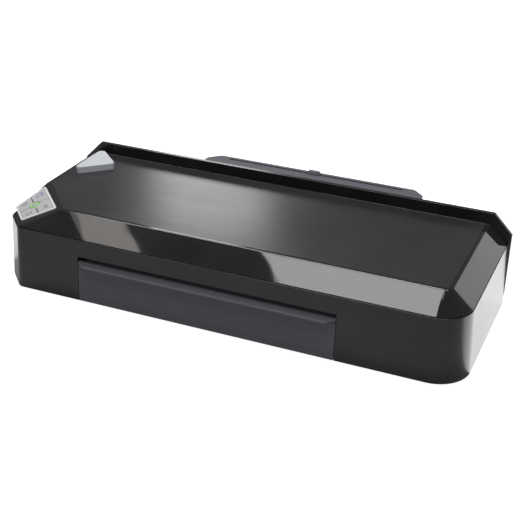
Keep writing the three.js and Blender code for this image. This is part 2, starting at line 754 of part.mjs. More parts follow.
// A round-wire compression spring standing between two heights.
function spring(radius, wire, z0, z1, turns) {
  const section = new THREE.Shape();
  section.absarc(0, 0, wire / 2, 0, 2 * Math.PI);
  const path = new Helix(radius, z1 - z0 - wire, turns);
  const geometry = new THREE.ExtrudeGeometry(section, {
    steps: Math.round(turns * 9),
    extrudePath: path,
    curveSegments: 3,
    bevelEnabled: false,
  });
  geometry.translate(0, 0, z0 + wire / 2);
  return solid(geometry);
}

// ---- Clamp: bed, platen, cam shaft and its motor ------------------------------------------------

const bedY0 = frontY + BED_FRONT;
const bedY1 = bedY0 + BED_DEPTH;
const bedLeft = slotLeft + 3;
const bedRight = slotRight - 3;
const END_LUG = 22; // bed and platen past the slot's ends, for the guide pins
const clampLeft = slotLeft - END_LUG;
const clampRight = slotRight + END_LUG;
const pinXs = [slotLeft - 12, slotRight + 12];
const PIN_SEAT = 5.7; // guide pin below the bed's top
const PIN_END = 4; // guide pin above the platen
const shaftY = bedY0 + BED_DEPTH * 0.55;
const platenZ = bedZ + SEAL_RISE + THROAT + SEAL_RISE;
const platenTop = platenZ + PLATEN_THICKNESS;
const shaftZ = platenTop + GAP + 0.1 + CAM_RADIUS;
const SEAL_FRONT = 3; // seal bar behind the bed's front edge
const SEAL_WIDTH = 8;
const GASKET_WIDTH = 6;
const gasketY0 = bedY0 + 15;
const gasketY1 = bedY1 - 3;
const DRAIN_RADIUS = 4;

function clampBed() {
  const block = box(bedLeft, bedRight, bedY0, bedY1, bedZ - BED_THICKNESS, bedZ);
  const lugs = box(clampLeft, clampRight, bedY0 + 18, bedY1, bedZ - 8, bedZ);
  const legs = [clampLeft, clampRight - 8].map((x) =>
    box(x, x + 8, bedY0 + 18, bedY1, floorZ + GAP, bedZ - 1));
  const trough = box(bedLeft + 14, bedRight - 14, gasketY0 + GASKET_WIDTH + 3, gasketY1 - GASKET_WIDTH - 3,
    bedZ - 9, bedZ + 1);
  const drain = rodZ(DRAIN_RADIUS, -20, (gasketY0 + gasketY1) / 2, 0, bedZ, 16);
  const suction = rodY(3.5, 90, (gasketY0 + gasketY1) / 2, bedY1 + 1, bedZ - 5, 12);
  const pinHoles = pinXs.map((x) => rodZ(PIN_RADIUS + GAP, x, shaftY, bedZ - 6, bedZ + 1, 16));
  return cut(joined(block, lugs, ...legs), trough, drain, suction, ...pinHoles);
}

// A closed ring of sealing foam on a rectangle.
function gasket(z0, z1) {
  const ring = (margin, cutback) => roundedShape([
    point(bedLeft + 6 + margin, gasketY0 + margin), point(bedRight - 6 - margin, gasketY0 + margin),
    point(bedRight - 6 - margin, gasketY1 - margin), point(bedLeft + 6 + margin, gasketY1 - margin),
  ], cutback);
  return cut(plate(ring(0, 8), z0, z1, 4), plate(ring(GASKET_WIDTH, 3), z0 - 1, z1 + 1, 4));
}

function sealStrip(z0, z1, inset) {
  const front = bedY0 + SEAL_FRONT;
  return box(bedLeft + inset, bedRight - inset, front + inset, front + SEAL_WIDTH - inset, z0, z1);
}

function upperPlaten() {
  const block = box(bedLeft, bedRight, bedY0, bedY1, platenZ, platenTop);
  const lugs = box(clampLeft, clampRight, bedY0 + 18, bedY1, platenZ, platenTop);
  const trough = box(bedLeft + 14, bedRight - 14, gasketY0 + GASKET_WIDTH + 3, gasketY1 - GASKET_WIDTH - 3,
    platenZ - 1, platenZ + 3.5);
  const pinHoles = pinXs.map((x) => rodZ(PIN_RADIUS + GAP, x, shaftY, platenZ - 1, platenTop + 1, 16));
  return cut(joined(block, lugs), trough, ...pinHoles);
}

// Heart-shaped cam: its reach below the shaft grows evenly over half a turn.
function cam(x) {
  const outline = [];
  const steps = 32;
  for (let i = 0; i < steps; i += 1) {
    const turn = i / steps;
    const radius = CAM_RADIUS + CLAMP_TRAVEL * (1 - Math.abs(2 * turn - 1));
    const angle = -Math.PI / 2 + 2 * Math.PI * turn;
    outline.push(point(radius * Math.cos(angle), radius * Math.sin(angle)));
  }
  return beam(outline, x - 4, x + 4);
}

const camXs = [slotLeft + 50, slotRight - 50];
const bracketXs = [clampLeft - 6, clampRight + 2];
const gearX = bracketXs[1] + 6;
const GEAR_THICKNESS = 6;

function camShaft() {
  const rod = rodX(SHAFT_RADIUS, bracketXs[0] - 2, gearX + GEAR_THICKNESS + 2, 0, 0, 16);
  return joined(rod, ...camXs.map(cam));
}

const TOOTH_REACH = 0.45 * TOOTH_MODULE; // above and below the pitch circle
const TOOTH_FLANKS = [[0.3, -1], [0.4, 1], [0.6, 1], [0.7, -1]]; // share of the pitch, low or high

// A phase of 0 puts a gap at angle 0, and 0.5 puts a tooth there.
function gearOutline(teeth, phase) {
  const pitch = teeth * TOOTH_MODULE / 2;
  const outline = [];
  for (let i = 0; i < teeth; i += 1) {
    TOOTH_FLANKS.forEach(([share, side]) => {
      const angle = 2 * Math.PI * (i + share + phase) / teeth;
      const radius = pitch + side * TOOTH_REACH;
      outline.push(point(radius * Math.cos(angle), radius * Math.sin(angle)));
    });
  }
  return outline;
}

const gearCentres = (GEAR_TEETH + PINION_TEETH) * TOOTH_MODULE / 2 + GAP;
const pinionY = shaftY + gearCentres * Math.SQRT1_2;
const pinionZ = shaftZ - gearCentres * Math.SQRT1_2;

function camGear() {
  const hub = rodX(SHAFT_RADIUS + GAP, -1, GEAR_THICKNESS + 1, 0, 0, 16);
  return cut(beam(gearOutline(GEAR_TEETH, 0), 0, GEAR_THICKNESS), hub);
}

function motorPinion() {
  const teeth = beam(gearOutline(PINION_TEETH, 0.5), 0, GEAR_THICKNESS);
  return joined(teeth, rodX(SPINDLE_RADIUS, 1, GEAR_THICKNESS + 6, 0, 0, 12));
}

const SPINDLE_RADIUS = 1.2;
const MOTOR_RADIUS = 13;
const motorX = gearX + GEAR_THICKNESS + 2;
const MOTOR_LENGTH = 42;

function clampMotor() {
  const can = rodX(MOTOR_RADIUS, motorX, motorX + MOTOR_LENGTH, pinionY, pinionZ, 24);
  const cradleEnd = motorX + MOTOR_LENGTH - 8;
  const cradle = box(motorX + 6, cradleEnd, pinionY - 10, pinionY + 10, floorZ + GAP, pinionZ - 6);
  const bore = rodX(SPINDLE_RADIUS + GAP, motorX - 1, motorX + 8, pinionY, pinionZ, 12);
  return cut(joined(can, cradle), bore);
}

function shaftBracket(x) {
  const upright = box(x, x + 4, shaftY - 9, shaftY + 9, floorZ + GAP, shaftZ + 7);
  const flange = box(x, x + 4, shaftY - 16, shaftY + 16, floorZ + GAP, floorZ + 12);
  return cut(joined(upright, flange), rodX(SHAFT_RADIUS + GAP, x - 1, x + 5, shaftY, shaftZ, 16));
}

// ---- Vacuum pump, valve and electrics -----------------------------------------------------------

const PUMP = { x: 40, y: rimY - 48, z: floorZ + 30 };
const CRANK_RADIUS = 9;

function pumpBody() {
  const { x, y, z } = PUMP;
  const foot = box(x - 26, x + 26, y - 18, y + 18, floorZ + GAP, floorZ + 5);
  const side = box(x + 18, x + 24, y - 16, y + 16, floorZ + 3, z + 16);
  const head = box(x - 24, x + 24, y - 16, y + 16, z + 14, z + 28);
  const far = box(x - 24, x - 18, y - 16, y + 16, floorZ + 3, z + 16);
  const ribs = [-16, -8, 0, 8, 16].map((dx) => box(x + dx - 1, x + dx + 1, y - 17, y + 17, z + 16, z + 30));
  const bore = rodX(2.3, x - REACH * 2, x + REACH * 2, y, z, 14);
  const port = rodY(4, x, y - 26, y - 15, z + 21, 14);
  return cut(joined(foot, side, head, far, ...ribs, port), bore, rodY(2.2, x, y - 30, y - 18, z + 21, 12));
}

function pumpCrank() {
  const disc = rodX(CRANK_RADIUS, -6, 6, 0, 0, 24);
  const throwPin = rodX(3, -10, 10, 4, 0, 12);
  return joined(disc, throwPin, rodX(2, -25, 30, 0, 0, 12));
}

function pumpMotor() {
  const { x, y, z } = PUMP;
  const can = rodX(15, x + 24 + GAP, x + 70, y, z, 28);
  const collar = rodX(5, x + 69, x + 74, y, z, 16);
  const bore = rodX(2.3, x + 20, x + 32, y, z, 14);
  const saddle = box(x + 34, x + 62, y - 11, y + 11, floorZ + GAP, z - 9);
  return cut(joined(can, collar, saddle), bore);
}

function vacuumHose() {
  const { x, y, z } = PUMP;
  const path = new THREE.CatmullRomCurve3([
    new THREE.Vector3(90, bedY1 + GAP, bedZ - 5),
    new THREE.Vector3(90, bedY1 + 8, bedZ - 5),
    new THREE.Vector3(74, bedY1 + 18, z + 14),
    new THREE.Vector3(x, y - 34, z + 21),
    new THREE.Vector3(x, y - 26 - GAP, z + 21),
  ]);
  const section = new THREE.Shape();
  section.absarc(0, 0, 3.6, 0, 2 * Math.PI);
  const sweep = { steps: 18, extrudePath: path, curveSegments: 5, bevelEnabled: false };
  return solid(new THREE.ExtrudeGeometry(section, sweep));
}

// Solenoid valve that lets air back in, standing behind the tray.
const valveY = frontY + TRAY_DEPTH + 16;

function releaseValve() {
  const x = -60;
  const y = valveY;
  const can = rodZ(9, x, y, floorZ + GAP, floorZ + 30, 20);
  const yoke = box(x - 11, x + 11, y - 5, y + 5, floorZ + 29, floorZ + 33);
  return joined(can, yoke, rodZ(2.5, x, y, floorZ + 32, floorZ + 40, 12));
}

function pressureSwitch() {
  const x = -105;
  const y = valveY;
  const cup = rodZ(11, x, y, floorZ + GAP, floorZ + 12, 20);
  const terminals = box(x - 5, x + 5, y + 9, y + 16, floorZ + GAP, floorZ + 8);
  return joined(cup, rodZ(2.5, x, y, floorZ + 11, floorZ + 22, 12), terminals);
}

function transformer() {
  const [x, y, z] = [-70, rimY - 36, floorZ + 6];
  const plateFoot = box(x - 34, x + 34, y - 16, y + 16, floorZ + GAP, z + 1);
  const core = box(x - 26, x + 26, y - 14, y + 14, z, z + 44);
  const winding = box(x - 17, x + 17, y - 21, y + 21, z + 7, z + 37);
  return joined(plateFoot, core, winding);
}

function powerBoard() {
  const [x0, x1, y0, y1] = [leftX + 26, leftX + 140, rimY - 92, rimY - 24];
  const z = floorZ + 7;
  const sheet = box(x0, x1, y0, y1, z, z + 1.6);
  const posts = [[x0 + 5, y0 + 5], [x1 - 5, y0 + 5], [x0 + 5, y1 - 5], [x1 - 5, y1 - 5]]
    .map(([x, y]) => rodZ(3, x, y, floorZ + GAP, z + 0.5, 10));
  const sink = [0, 1, 2, 3].map((i) => y1 - 14 - 7 * i)
    .map((y) => box(x0 + 12, x0 + 44, y, y + 3, z + 1, z + 26));
  const sinkBase = box(x0 + 12, x0 + 15, y1 - 35, y1 - 11, z + 1, z + 26);
  const capacitors = [0, 1, 2].map((i) => rodZ(6, x1 - 16 - 17 * i, y1 - 14, z + 1, z + 24, 16));
  const relay = box(x1 - 34, x1 - 12, y0 + 10, y0 + 26, z + 1, z + 17);
  return joined(sheet, ...posts, sinkBase, ...sink, ...capacitors, relay);
}

// ---- Assembly -----------------------------------------------------------------------------------

const sealer = new THREE.Group();

const casing = new THREE.Group();
put(casing, 'lower_housing', lowerHousing(), finishes.housing);
put(casing, 'base_plate', basePlate(), finishes.charcoal);
put(casing, 'top_bezel', topBezel(), finishes.glossBlack);
put(casing, 'top_panel', topPanel(), finishes.satinTop);
put(casing, 'rear_rim', rearRim(), finishes.glossBlack);
put(casing, 'power_inlet', powerInlet(), finishes.charcoal);
['front_left', 'front_right', 'rear_left', 'rear_right'].forEach((place, i) => {
  put(casing, `foot_${place}`, foot(), finishes.rubber, ...FOOT_PLACES[i]);
  put(casing, `base_screw_${place}`, screw(), finishes.steel, ...SCREW_PLACES[i]);
});
sealer.add(casing);

const bay = new THREE.Group();
put(bay, 'roll_bay', rollBay(), finishes.charcoal);
put(bay, 'roll_bay_lid', bayLid(), finishes.charcoal);
put(bay, 'lid_hinge_pin', hingePin(), finishes.steel);
put(bay, 'cutter_slide', cutterSlide(), finishes.charcoal, 0, grooveY, 0);
put(bay, 'cutter_blade', cutterBlade(), finishes.steel, 0, grooveY, 0);
put(bay, 'foot_bay_left', foot(), finishes.rubber, ...BAY_FOOT_PLACES[0]);
put(bay, 'foot_bay_right', foot(), finishes.rubber, ...BAY_FOOT_PLACES[1]);
sealer.add(bay);

put(sealer, 'drip_tray', dripTray(), finishes.charcoal);

const controls = new THREE.Group();
controls.applyMatrix4(facetFrame);
put(controls, 'control_frame', controlFrame(), finishes.white);
put(controls, 'seal_key', quarterKey(-1, 1), finishes.grey);
put(controls, 'pulse_key', quarterKey(1, 1), finishes.grey);
put(controls, 'food_key', quarterKey(-1, -1), finishes.grey);
put(controls, 'release_key', quarterKey(1, -1), finishes.grey);
put(controls, 'power_ring', powerRing(), finishes.lens);
put(controls, 'power_key', powerKey(), finishes.grey);
put(controls, 'control_board', controlBoard(), finishes.board);
sealer.add(controls);

const start = new THREE.Group();
start.position.set(buttonX, buttonY, 0);
put(start, 'start_button', startButton(), finishes.silver);
put(start, 'button_guide', buttonGuide(), finishes.charcoal);
put(start, 'button_switch', buttonSwitch(), finishes.charcoal, SPRING_X, SPRING_Y);
put(start, 'button_spring', spring(5, 0.8, guideFloor + 2 + GAP, topZ - BUTTON_SKIRT - GAP, 3.5),
  finishes.steel, SPRING_X, SPRING_Y);
sealer.add(start);

const clamp = new THREE.Group();
put(clamp, 'clamp_bed', clampBed(), finishes.charcoal);
put(clamp, 'lower_gasket', gasket(bedZ + GAP, bedZ + SEAL_RISE), finishes.foam);
put(clamp, 'seal_bar', sealStrip(bedZ + GAP, bedZ + SEAL_RISE - 0.9, 0), finishes.steel);
put(clamp, 'heating_strip', sealStrip(bedZ + SEAL_RISE - 0.9 + GAP, bedZ + SEAL_RISE, 1.5), finishes.tape);
put(clamp, 'upper_platen', upperPlaten(), finishes.charcoal);
put(clamp, 'upper_gasket', gasket(platenZ - SEAL_RISE, platenZ - GAP), finishes.foam);
put(clamp, 'pressure_strip', sealStrip(platenZ - SEAL_RISE, platenZ - GAP, 0.5), finishes.silicone);
['left', 'right'].forEach((side, i) => {
  const pin = rodZ(PIN_RADIUS, 0, 0, bedZ - PIN_SEAT, platenTop + PIN_END, 16);
  const coil = spring(5, 1, bedZ + GAP, platenZ - GAP, 4);
  put(clamp, `guide_pin_${side}`, pin, finishes.steel, pinXs[i], shaftY);
  put(clamp, `platen_spring_${side}`, coil, finishes.steel, pinXs[i], shaftY);
  put(clamp, `shaft_bracket_${side}`, shaftBracket(bracketXs[i]), finishes.steel);
});
put(clamp, 'cam_shaft', camShaft(), finishes.steel, 0, shaftY, shaftZ);
put(clamp, 'cam_gear', camGear(), finishes.ivory, gearX, shaftY, shaftZ);
put(clamp, 'motor_pinion', motorPinion(), finishes.brass, gearX, pinionY, pinionZ);
put(clamp, 'clamp_motor', clampMotor(), finishes.steel);
sealer.add(clamp);

const works = new THREE.Group();
put(works, 'vacuum_pump', pumpBody(), finishes.charcoal);
put(works, 'pump_crank', pumpCrank(), finishes.brass, PUMP.x, PUMP.y, PUMP.z);
put(works, 'pump_motor', pumpMotor(), finishes.steel);
put(works, 'vacuum_hose', vacuumHose(), finishes.rubber);
put(works, 'release_valve', releaseValve(), finishes.copper);
put(works, 'pressure_switch', pressureSwitch(), finishes.ivory);
put(works, 'transformer', transformer(), finishes.copper);
put(works, 'power_board', powerBoard(), finishes.board);
sealer.add(works);

export default sealer;
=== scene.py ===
"""Vacuum sealer: detailed visible pieces, finishes and a studio round the fixed frame.

Metres, +Z up, front towards -Y. Places come from the frame's own boxes.
"""

import json
import math

import bmesh
import bpy
from bpy.props import FloatProperty, FloatVectorProperty, PointerProperty
from mathutils import Matrix, Vector


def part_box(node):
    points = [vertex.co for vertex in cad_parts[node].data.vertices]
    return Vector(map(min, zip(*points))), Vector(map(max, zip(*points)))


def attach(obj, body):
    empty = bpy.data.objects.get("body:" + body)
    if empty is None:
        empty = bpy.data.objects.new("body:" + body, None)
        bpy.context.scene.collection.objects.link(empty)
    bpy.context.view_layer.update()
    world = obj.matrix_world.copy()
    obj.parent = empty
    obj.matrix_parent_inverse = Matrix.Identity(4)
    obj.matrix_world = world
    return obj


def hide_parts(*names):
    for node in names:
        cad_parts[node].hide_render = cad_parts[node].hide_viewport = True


bl_info = {
    "name": "Vacuum sealer",
    "version": (1, 0, 0),
    "blender": (4, 5, 0),
    "location": "View3D > Sidebar > Sealer",
    "description": "Builds a countertop vacuum sealer with its finishes and a studio",
    "category": "Object",
}

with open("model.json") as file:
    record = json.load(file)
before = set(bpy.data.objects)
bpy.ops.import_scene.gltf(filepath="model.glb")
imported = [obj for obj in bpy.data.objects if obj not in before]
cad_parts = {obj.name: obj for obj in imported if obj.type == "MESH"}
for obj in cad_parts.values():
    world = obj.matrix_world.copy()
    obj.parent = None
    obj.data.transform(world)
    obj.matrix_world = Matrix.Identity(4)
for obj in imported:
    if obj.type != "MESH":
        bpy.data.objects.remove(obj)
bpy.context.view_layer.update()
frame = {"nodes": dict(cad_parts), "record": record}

MM = 0.001
GAP = 0.3 * MM
WELD_DISTANCE = 0.002 * MM
REACH = 20 * MM  # how far a cutter stands out of what it cuts


# ---- Sizes and colours that a user would change -------------------------------------------------


def length(name, description, value, low=0.0, high=1.0):
    return FloatProperty(name=name, description=description, default=value * MM,
                         min=low, max=high, unit="LENGTH", precision=5)


def share(name, description, value, low=0.0, high=1.0):
    return FloatProperty(name=name, description=description, default=value, min=low, max=high)


def tint(name, description, value):
    return FloatVectorProperty(name=name, description=description, default=value, size=3,
                               subtype="COLOR", min=0.0, max=1.0)


def watts(name, description, value):
    return FloatProperty(name=name, description=f"Power of the {description}, in watts",
                         default=value, min=0, max=500, unit="POWER")


class SealerShell(bpy.types.PropertyGroup):
    """Sizes of the moulded shells."""

    wall: length("Wall", "Thickness of the moulded walls", 2.5)
    front_corner: length("Front right corner", "Radius of the round corner at the seam", 34)
    side_corner: length("Left corners", "Radius of the creases beside the control facet", 8)
    chamfer_depth: length("Chamfer depth", "Front left chamfer, along the left wall", 25.6)
    facet_depth: length("Facet depth", "Control facet's upper end, behind the front wall", 82)
    facet_length: length("Facet length", "Control facet's upper end, from the left wall", 68.7)
    top_corner: length("Top corner", "Radius of the flat top's front right corner", 8)
    lip_round: length("Edge of the housing", "Rounding along the housing's upper edge", 1.0)
    crease_round: length("Edge of the flat top", "Rounding between facets and flat top", 1.3)
    seam_gap: length("Seam", "Open line between housing and bezel", 0.8)
    seam_step: length("Seam step", "How far the housing stands out from the bezel", 0.7)
    side_flare: length("Side flare", "How far the side walls spread towards the bottom", 3.3)
    front_flare: length("Front flare", "How far the front wall spreads towards the bottom", 2.3)
    inlay_margin: length("Inlay margin", "From the flat top's edge in to the inlay", 3)
    inlay_ledge: length("Inlay ledge", "Width of the ledge that carries the inlay", 3)


class SealerControls(bpy.types.PropertyGroup):
    """Sizes of the start button and of the control panel."""

    button_length: length("Button length", "Long side of the start button's triangle", 72)
    button_width: length("Button width", "From its long side to the opposite corner", 37.5)
    button_round: length("Button edge", "Rounding along the button's upper edge", 1.5)
    panel_top: length("Panel top", "Length of the control panel's upper edge", 64)
    panel_bottom: length("Panel bottom", "Length of the control panel's lower edge", 38)
    panel_height: length("Panel height", "Height of the control panel", 41)
    panel_rise: length("Panel rise", "Middle of the panel, up the facet from the seam", 26.6)
    panel_shift: length("Panel shift", "Middle of the panel, along the facet", 1.2)
    panel_proud: length("Panel above facet", "How far the panel stands out", 0.9)
    border: length("Panel border", "Width of the panel's frame", 2.4)
    key_groove: length("Key groove", "Open line between the keys", 0.9)
    ring_radius: length("Ring radius", "Outer radius of the lit ring", 5.6)
    ring_width: length("Ring width", "Width of the lit ring", 1.2)
    stroke: length("Symbol stroke", "Line width of the key symbols", 0.7)


class SealerFinish(bpy.types.PropertyGroup):
    """Colours and gloss of the finishes."""

    housing: tint("Housing", "Semi-gloss skirt", (0.0075, 0.0065, 0.0095))
    bezel: tint("Bezel", "Gloss black bezel and rim", (0.006, 0.006, 0.0065))
    inlay: tint("Inlay", "Satin inlay in the flat top", (0.022, 0.022, 0.0245))
    charcoal: tint("Charcoal", "Tray, lid and bay", (0.042, 0.042, 0.049))
    silver: tint("Silver", "Start button", (0.5, 0.515, 0.54))
    panel: tint("Panel", "Frame of the control panel", (0.86, 0.865, 0.87))
    keys: tint("Keys", "Key caps", (0.5, 0.505, 0.515))
    ring: tint("Ring", "Lit ring", (0.24, 0.56, 0.12))
    housing_rough: share("Housing roughness", "Gloss of the skirt", 0.33)
    inlay_rough: share("Inlay roughness", "Gloss of the inlay", 0.24)


class SealerStudio(bpy.types.PropertyGroup):
    """Light, floor and camera."""

    lens: FloatProperty(name="Lens", description="Focal length in millimetres", default=74.68,
                        min=20, max=200, unit="CAMERA")
    left_box: watts("Left box", "left box above", 0.5)
    right_box: watts("Right box", "right box above", 3.1)
    rear_box: watts("Rear box", "box behind and to the left", 1.5)
    side_box: watts("Side box", "box behind and to the right", 1.1)
    corner_box: watts("Corner box", "box above the front corner", 0.5)
    bevel_box: watts("Bevel box", "box that the bevels mirror", 1.9)
    under: watts("Light from below", "light that shows the underside", 6)
    lit_sweep: watts("Lit sweep", "lit floor behind and to the right", 2.7)
    left_sweep: watts("Left sweep", "lit floor to the left", 1.0)
    front_fill: watts("Front fill", "soft light from the front", 8)
    key: watts("Key light", "key light", 11)
    room: share("Room", "Strength of the dim room around", 0.16)
    floor: tint("Floor", "Pale floor", (0.5, 0.5, 0.5))


# ---- Outlines and places ------------------------------------------------------------------------


def rectangle(x0, y0, x1, y1):
    return [Vector((x0, y0)), Vector((x1, y0)), Vector((x1, y1)), Vector((x0, y1))]


def arc(x, y, radius, start, stop, steps):
    """Points along an arc between two angles in radians."""
    angles = (start + (stop - start) * s / steps for s in range(steps + 1))
    return [Vector((x + radius * math.cos(a), y + radius * math.sin(a))) for a in angles]


def circle(x, y, radius, sides):
    return arc(x, y, radius, 0, 2 * math.pi, sides)[:-1]


def lifted(outline, z, place=None):
    """An outline at a height, in the row's frame or in that of a place."""
    points = [Vector((p.x, p.y, z)) for p in outline]
    return [place @ p for p in points] if place else points


def upright(outline, y):
    """An outline of widths and heights, stood up at a depth."""
    return [Vector((p.x, y, p.y)) for p in outline]


def cross2(a, b):
    return a.x * b.y - a.y * b.x


def moved_edges(corners, distances):
    """Corners of an anticlockwise outline with each edge moved outwards by its own distance."""
    count = len(corners)
    lines = []
    for i, start in enumerate(corners):
        along = (corners[(i + 1) % count] - start).normalized()
        out = Vector((along.y, -along.x))
        lines.append((start + out * distances[i], along))
    moved = []
    for i, (start, along) in enumerate(lines):
        last, back = lines[i - 1]
        moved.append(last + back * (cross2(start - last, along) / cross2(back, along)))
    return moved


def filleted(corners, radii, steps):
    """An outline whose corners are arcs, each with its own radius and number of steps."""
    count = len(corners)
    outline = []
    for i, corner in enumerate(corners):
        before = (corners[i - 1] - corner).normalized()
        after = (corners[(i + 1) % count] - corner).normalized()
        half = before.angle(after) / 2
        reach = radii[i] / math.tan(half)
        middle = corner + (before + after).normalized() * (radii[i] / math.sin(half))
        first = corner + before * reach - middle
        turn = math.pi - 2 * half
        side = 1 if cross2(before, after) < 0 else -1
        for s in range(steps[i] + 1):
            angle = side * turn * s / steps[i]
            outline.append(middle + Vector((
                first.x * math.cos(angle) - first.y * math.sin(angle),
                first.x * math.sin(angle) + first.y * math.cos(angle))))
    return outline


def shrinking(corners, radii, smallest, steps):
    """An outline for a margin inwards, whose radii, in millimetres, shrink with the margin."""
    def outline(margin):
        left = [max(r * MM - margin, smallest) for r in radii]
        count = len(corners)
        return filleted(moved_edges(corners, [-margin] * count), left, [steps] * count)
    return outline


class Body:
    """Outlines of the sealer's body, seen from above, and the frame of its control facet."""

    CORNER_STEPS = (2, 6, 6, 20, 2)
    SMALL = 0.6 * MM

    def __init__(self, shell, controls):
        low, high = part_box("top_bezel")
        self.left, self.front, self.seam = low
        self.right, self.rear, self.top = high
        self.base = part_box("lower_housing")[0].z
        self.shell = shell
        margin = shell.inlay_margin + GAP
        inlay_low, inlay_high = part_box("top_panel")
        top_left, top_right = inlay_low.x - margin, inlay_high.x + margin
        top_front = inlay_low.y - margin
        facet_left = Vector((top_left, self.front + shell.facet_depth, self.top))
        facet_front = Vector((self.left + shell.facet_length, top_front, self.top))
        facet_low = Vector((self.left, self.front + shell.chamfer_depth, self.seam))
        self.along = (facet_front - facet_left).normalized()
        self.normal = self.along.cross(facet_left - facet_low).normalized()
        self.up = self.normal.cross(self.along)
        low_front_x = facet_left.x - (
            self.normal.y * (self.front - facet_left.y)
            + self.normal.z * (self.seam - self.top)) / self.normal.x
        self.seam_corners = [Vector(p) for p in (
            (self.left, self.rear), facet_low.xy, (low_front_x, self.front),
            (self.right, self.front), (self.right, self.rear))]
        self.top_corners = [Vector(p) for p in (
            (top_left, self.rear), facet_left.xy, facet_front.xy, (top_right, top_front),
            (top_right, self.rear))]
        slant = (self.top - self.seam) / self.up.z
        middle = (facet_left + facet_front) / 2 + self.up * (controls.panel_rise - slant)
        middle -= self.along * controls.panel_shift
        self.facet = Matrix((self.along, self.up, self.normal)).transposed().to_4x4()
        self.facet.translation = middle

    def seam_ring(self, sides, z):
        """The seam's outline moved outwards by one distance for each side."""
        left, right = self.shell.side_corner + sides[2], self.shell.front_corner + sides[2]
        radii = (self.SMALL, left, left, right, self.SMALL)
        return lifted(filleted(moved_edges(self.seam_corners, sides), radii, self.CORNER_STEPS), z)

    def top_outline(self, inset, rear=0.0):
        """The flat top's outline moved inwards, with another distance for its rear side if any."""
        small = max(2.0 * MM - inset * 0.3, self.SMALL)
        corner = max(self.shell.top_corner - inset, self.SMALL)
        sides = (-inset,) * 4 + (-(rear or inset),)
        radii = (self.SMALL, small, small, corner, self.SMALL)
        return filleted(moved_edges(self.top_corners, sides), radii, self.CORNER_STEPS)

    def top_ring(self, inset, z, rear=0.0):
        return lifted(self.top_outline(inset, rear), z)

    def wall(self, drop, inward=0.0):
        """Distances of the five walls from the seam's outline, spread by a share of the flare."""
        side, front = self.shell.side_flare, self.shell.front_flare
        chamfer = self.normal.xy.normalized()
        spread = (side, side * chamfer.x ** 2 + front * chamfer.y ** 2, front, side)
        return [self.shell.seam_step + drop * s - inward for s in spread] + [-inward]


# ---- Meshes -------------------------------------------------------------------------------------


def softened(rings, cuts, steps=4, closed=False):
    """Rounds the profile that runs through the rings, by each ring's own distance."""
    out = []
    count = len(rings)
    for k, (ring, cut) in enumerate(zip(rings, cuts)):
        if not cut or (not closed and k in (0, count - 1)):
            out.append(ring)
            continue
        before, after = rings[k - 1], rings[(k + 1) % count]
        for s in range(steps + 1):
            t = s / steps
            out.append([
                (p + (a - p).normalized() * cut) * (1 - t) ** 2 + p * (2 * t * (1 - t))
                + (p + (b - p).normalized() * cut) * t ** 2
                for p, a, b in zip(ring, before, after)])
    return out


def loft(bm, rings, closed=False):
    """Skin over rings of as many points each, closed into a loop or capped at both ends."""
    rows = [[bm.verts.new(p) for p in ring] for ring in rings]
    pairs = list(zip(rows, rows[1:]))
    if closed:
        pairs.append((rows[-1], rows[0]))
    for low, high in pairs:
        for i in range(len(low)):
            j = (i + 1) % len(low)
            bm.faces.new((low[i], low[j], high[j], high[i]))
    if not closed:
        bm.faces.new(rows[0][::-1])
        bm.faces.new(rows[-1])


def brick(bm, low, high):
    x0, y0, z0 = low
    x1, y1, z1 = high
    loft(bm, [lifted(rectangle(x0, y0, x1, y1), z) for z in (z0, z1)])


def made_by(name, *steps):
    """A new object from steps that each add to its mesh."""
    bm = bmesh.new()
    for step in steps:
        step(bm)
    bmesh.ops.recalc_face_normals(bm, faces=bm.faces)
    mesh = bpy.data.meshes.new(name)
    bm.to_mesh(mesh)
    bm.free()
    made = bpy.data.objects.new(name, mesh)
    bpy.context.scene.collection.objects.link(made)
    return made


def shell_of(name, rings, rounding, steps):
    """A piece whose rings run right round its wall, from the outside to the inside."""
    return made_by(name, lambda bm: loft(bm, softened(rings, rounding, steps, True), True))


def modified(piece, name, kind, **settings):
    step = piece.modifiers.new(name, kind)
    for key, value in settings.items():
        setattr(step, key, value)


def flattened(piece):
    """Puts the result of a piece's modifiers into its mesh."""
    evaluated = piece.evaluated_get(bpy.context.evaluated_depsgraph_get())
    mesh = bpy.data.meshes.new_from_object(evaluated)
    piece.modifiers.clear()
    old, piece.data = piece.data, mesh
    name = old.name
    bpy.data.meshes.remove(old)
    mesh.name = name


def carved(piece, *steps):
    """Cuts what the steps make out of a piece."""
    cutter = made_by("cutter", *steps)
    modified(piece, "cut", "BOOLEAN", object=cutter, operation="DIFFERENCE", solver="EXACT")
    flattened(piece)
    mesh = cutter.data
    bpy.data.objects.remove(cutter)
    bpy.data.meshes.remove(mesh)
    bm = bmesh.new()
    bm.from_mesh(piece.data)
    bmesh.ops.remove_doubles(bm, verts=bm.verts, dist=WELD_DISTANCE)
    bmesh.ops.dissolve_limit(bm, angle_limit=math.radians(0.4), verts=bm.verts, edges=bm.edges)
    bm.to_mesh(piece.data)
    bm.free()


def edged(piece, width, segments=3, angle=32):
    """Rounds every edge sharper than the angle."""
    modified(piece, "edges", "BEVEL", width=width, segments=segments, limit_method="ANGLE",
             angle_limit=math.radians(angle))


def placed(piece, body, slot, *nodes, angle=40, finish_name=None):
    """Smooths a piece up to its sharp edges, and says its finish, body and what it replaces."""
    if piece.modifiers:
        flattened(piece)
    mesh = piece.data
    mesh.polygons.foreach_set("use_smooth", [True] * len(mesh.polygons))
    mesh.set_sharp_from_angle(angle=math.radians(angle))
    modified(piece, "normals", "WEIGHTED_NORMAL", keep_sharp=True, weight=100)
    flattened(piece)
    piece.data.materials.clear()
    piece.data.materials.append(material_of(finish_name or slot))
    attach(piece, body)
    if nodes:
        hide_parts(*nodes)


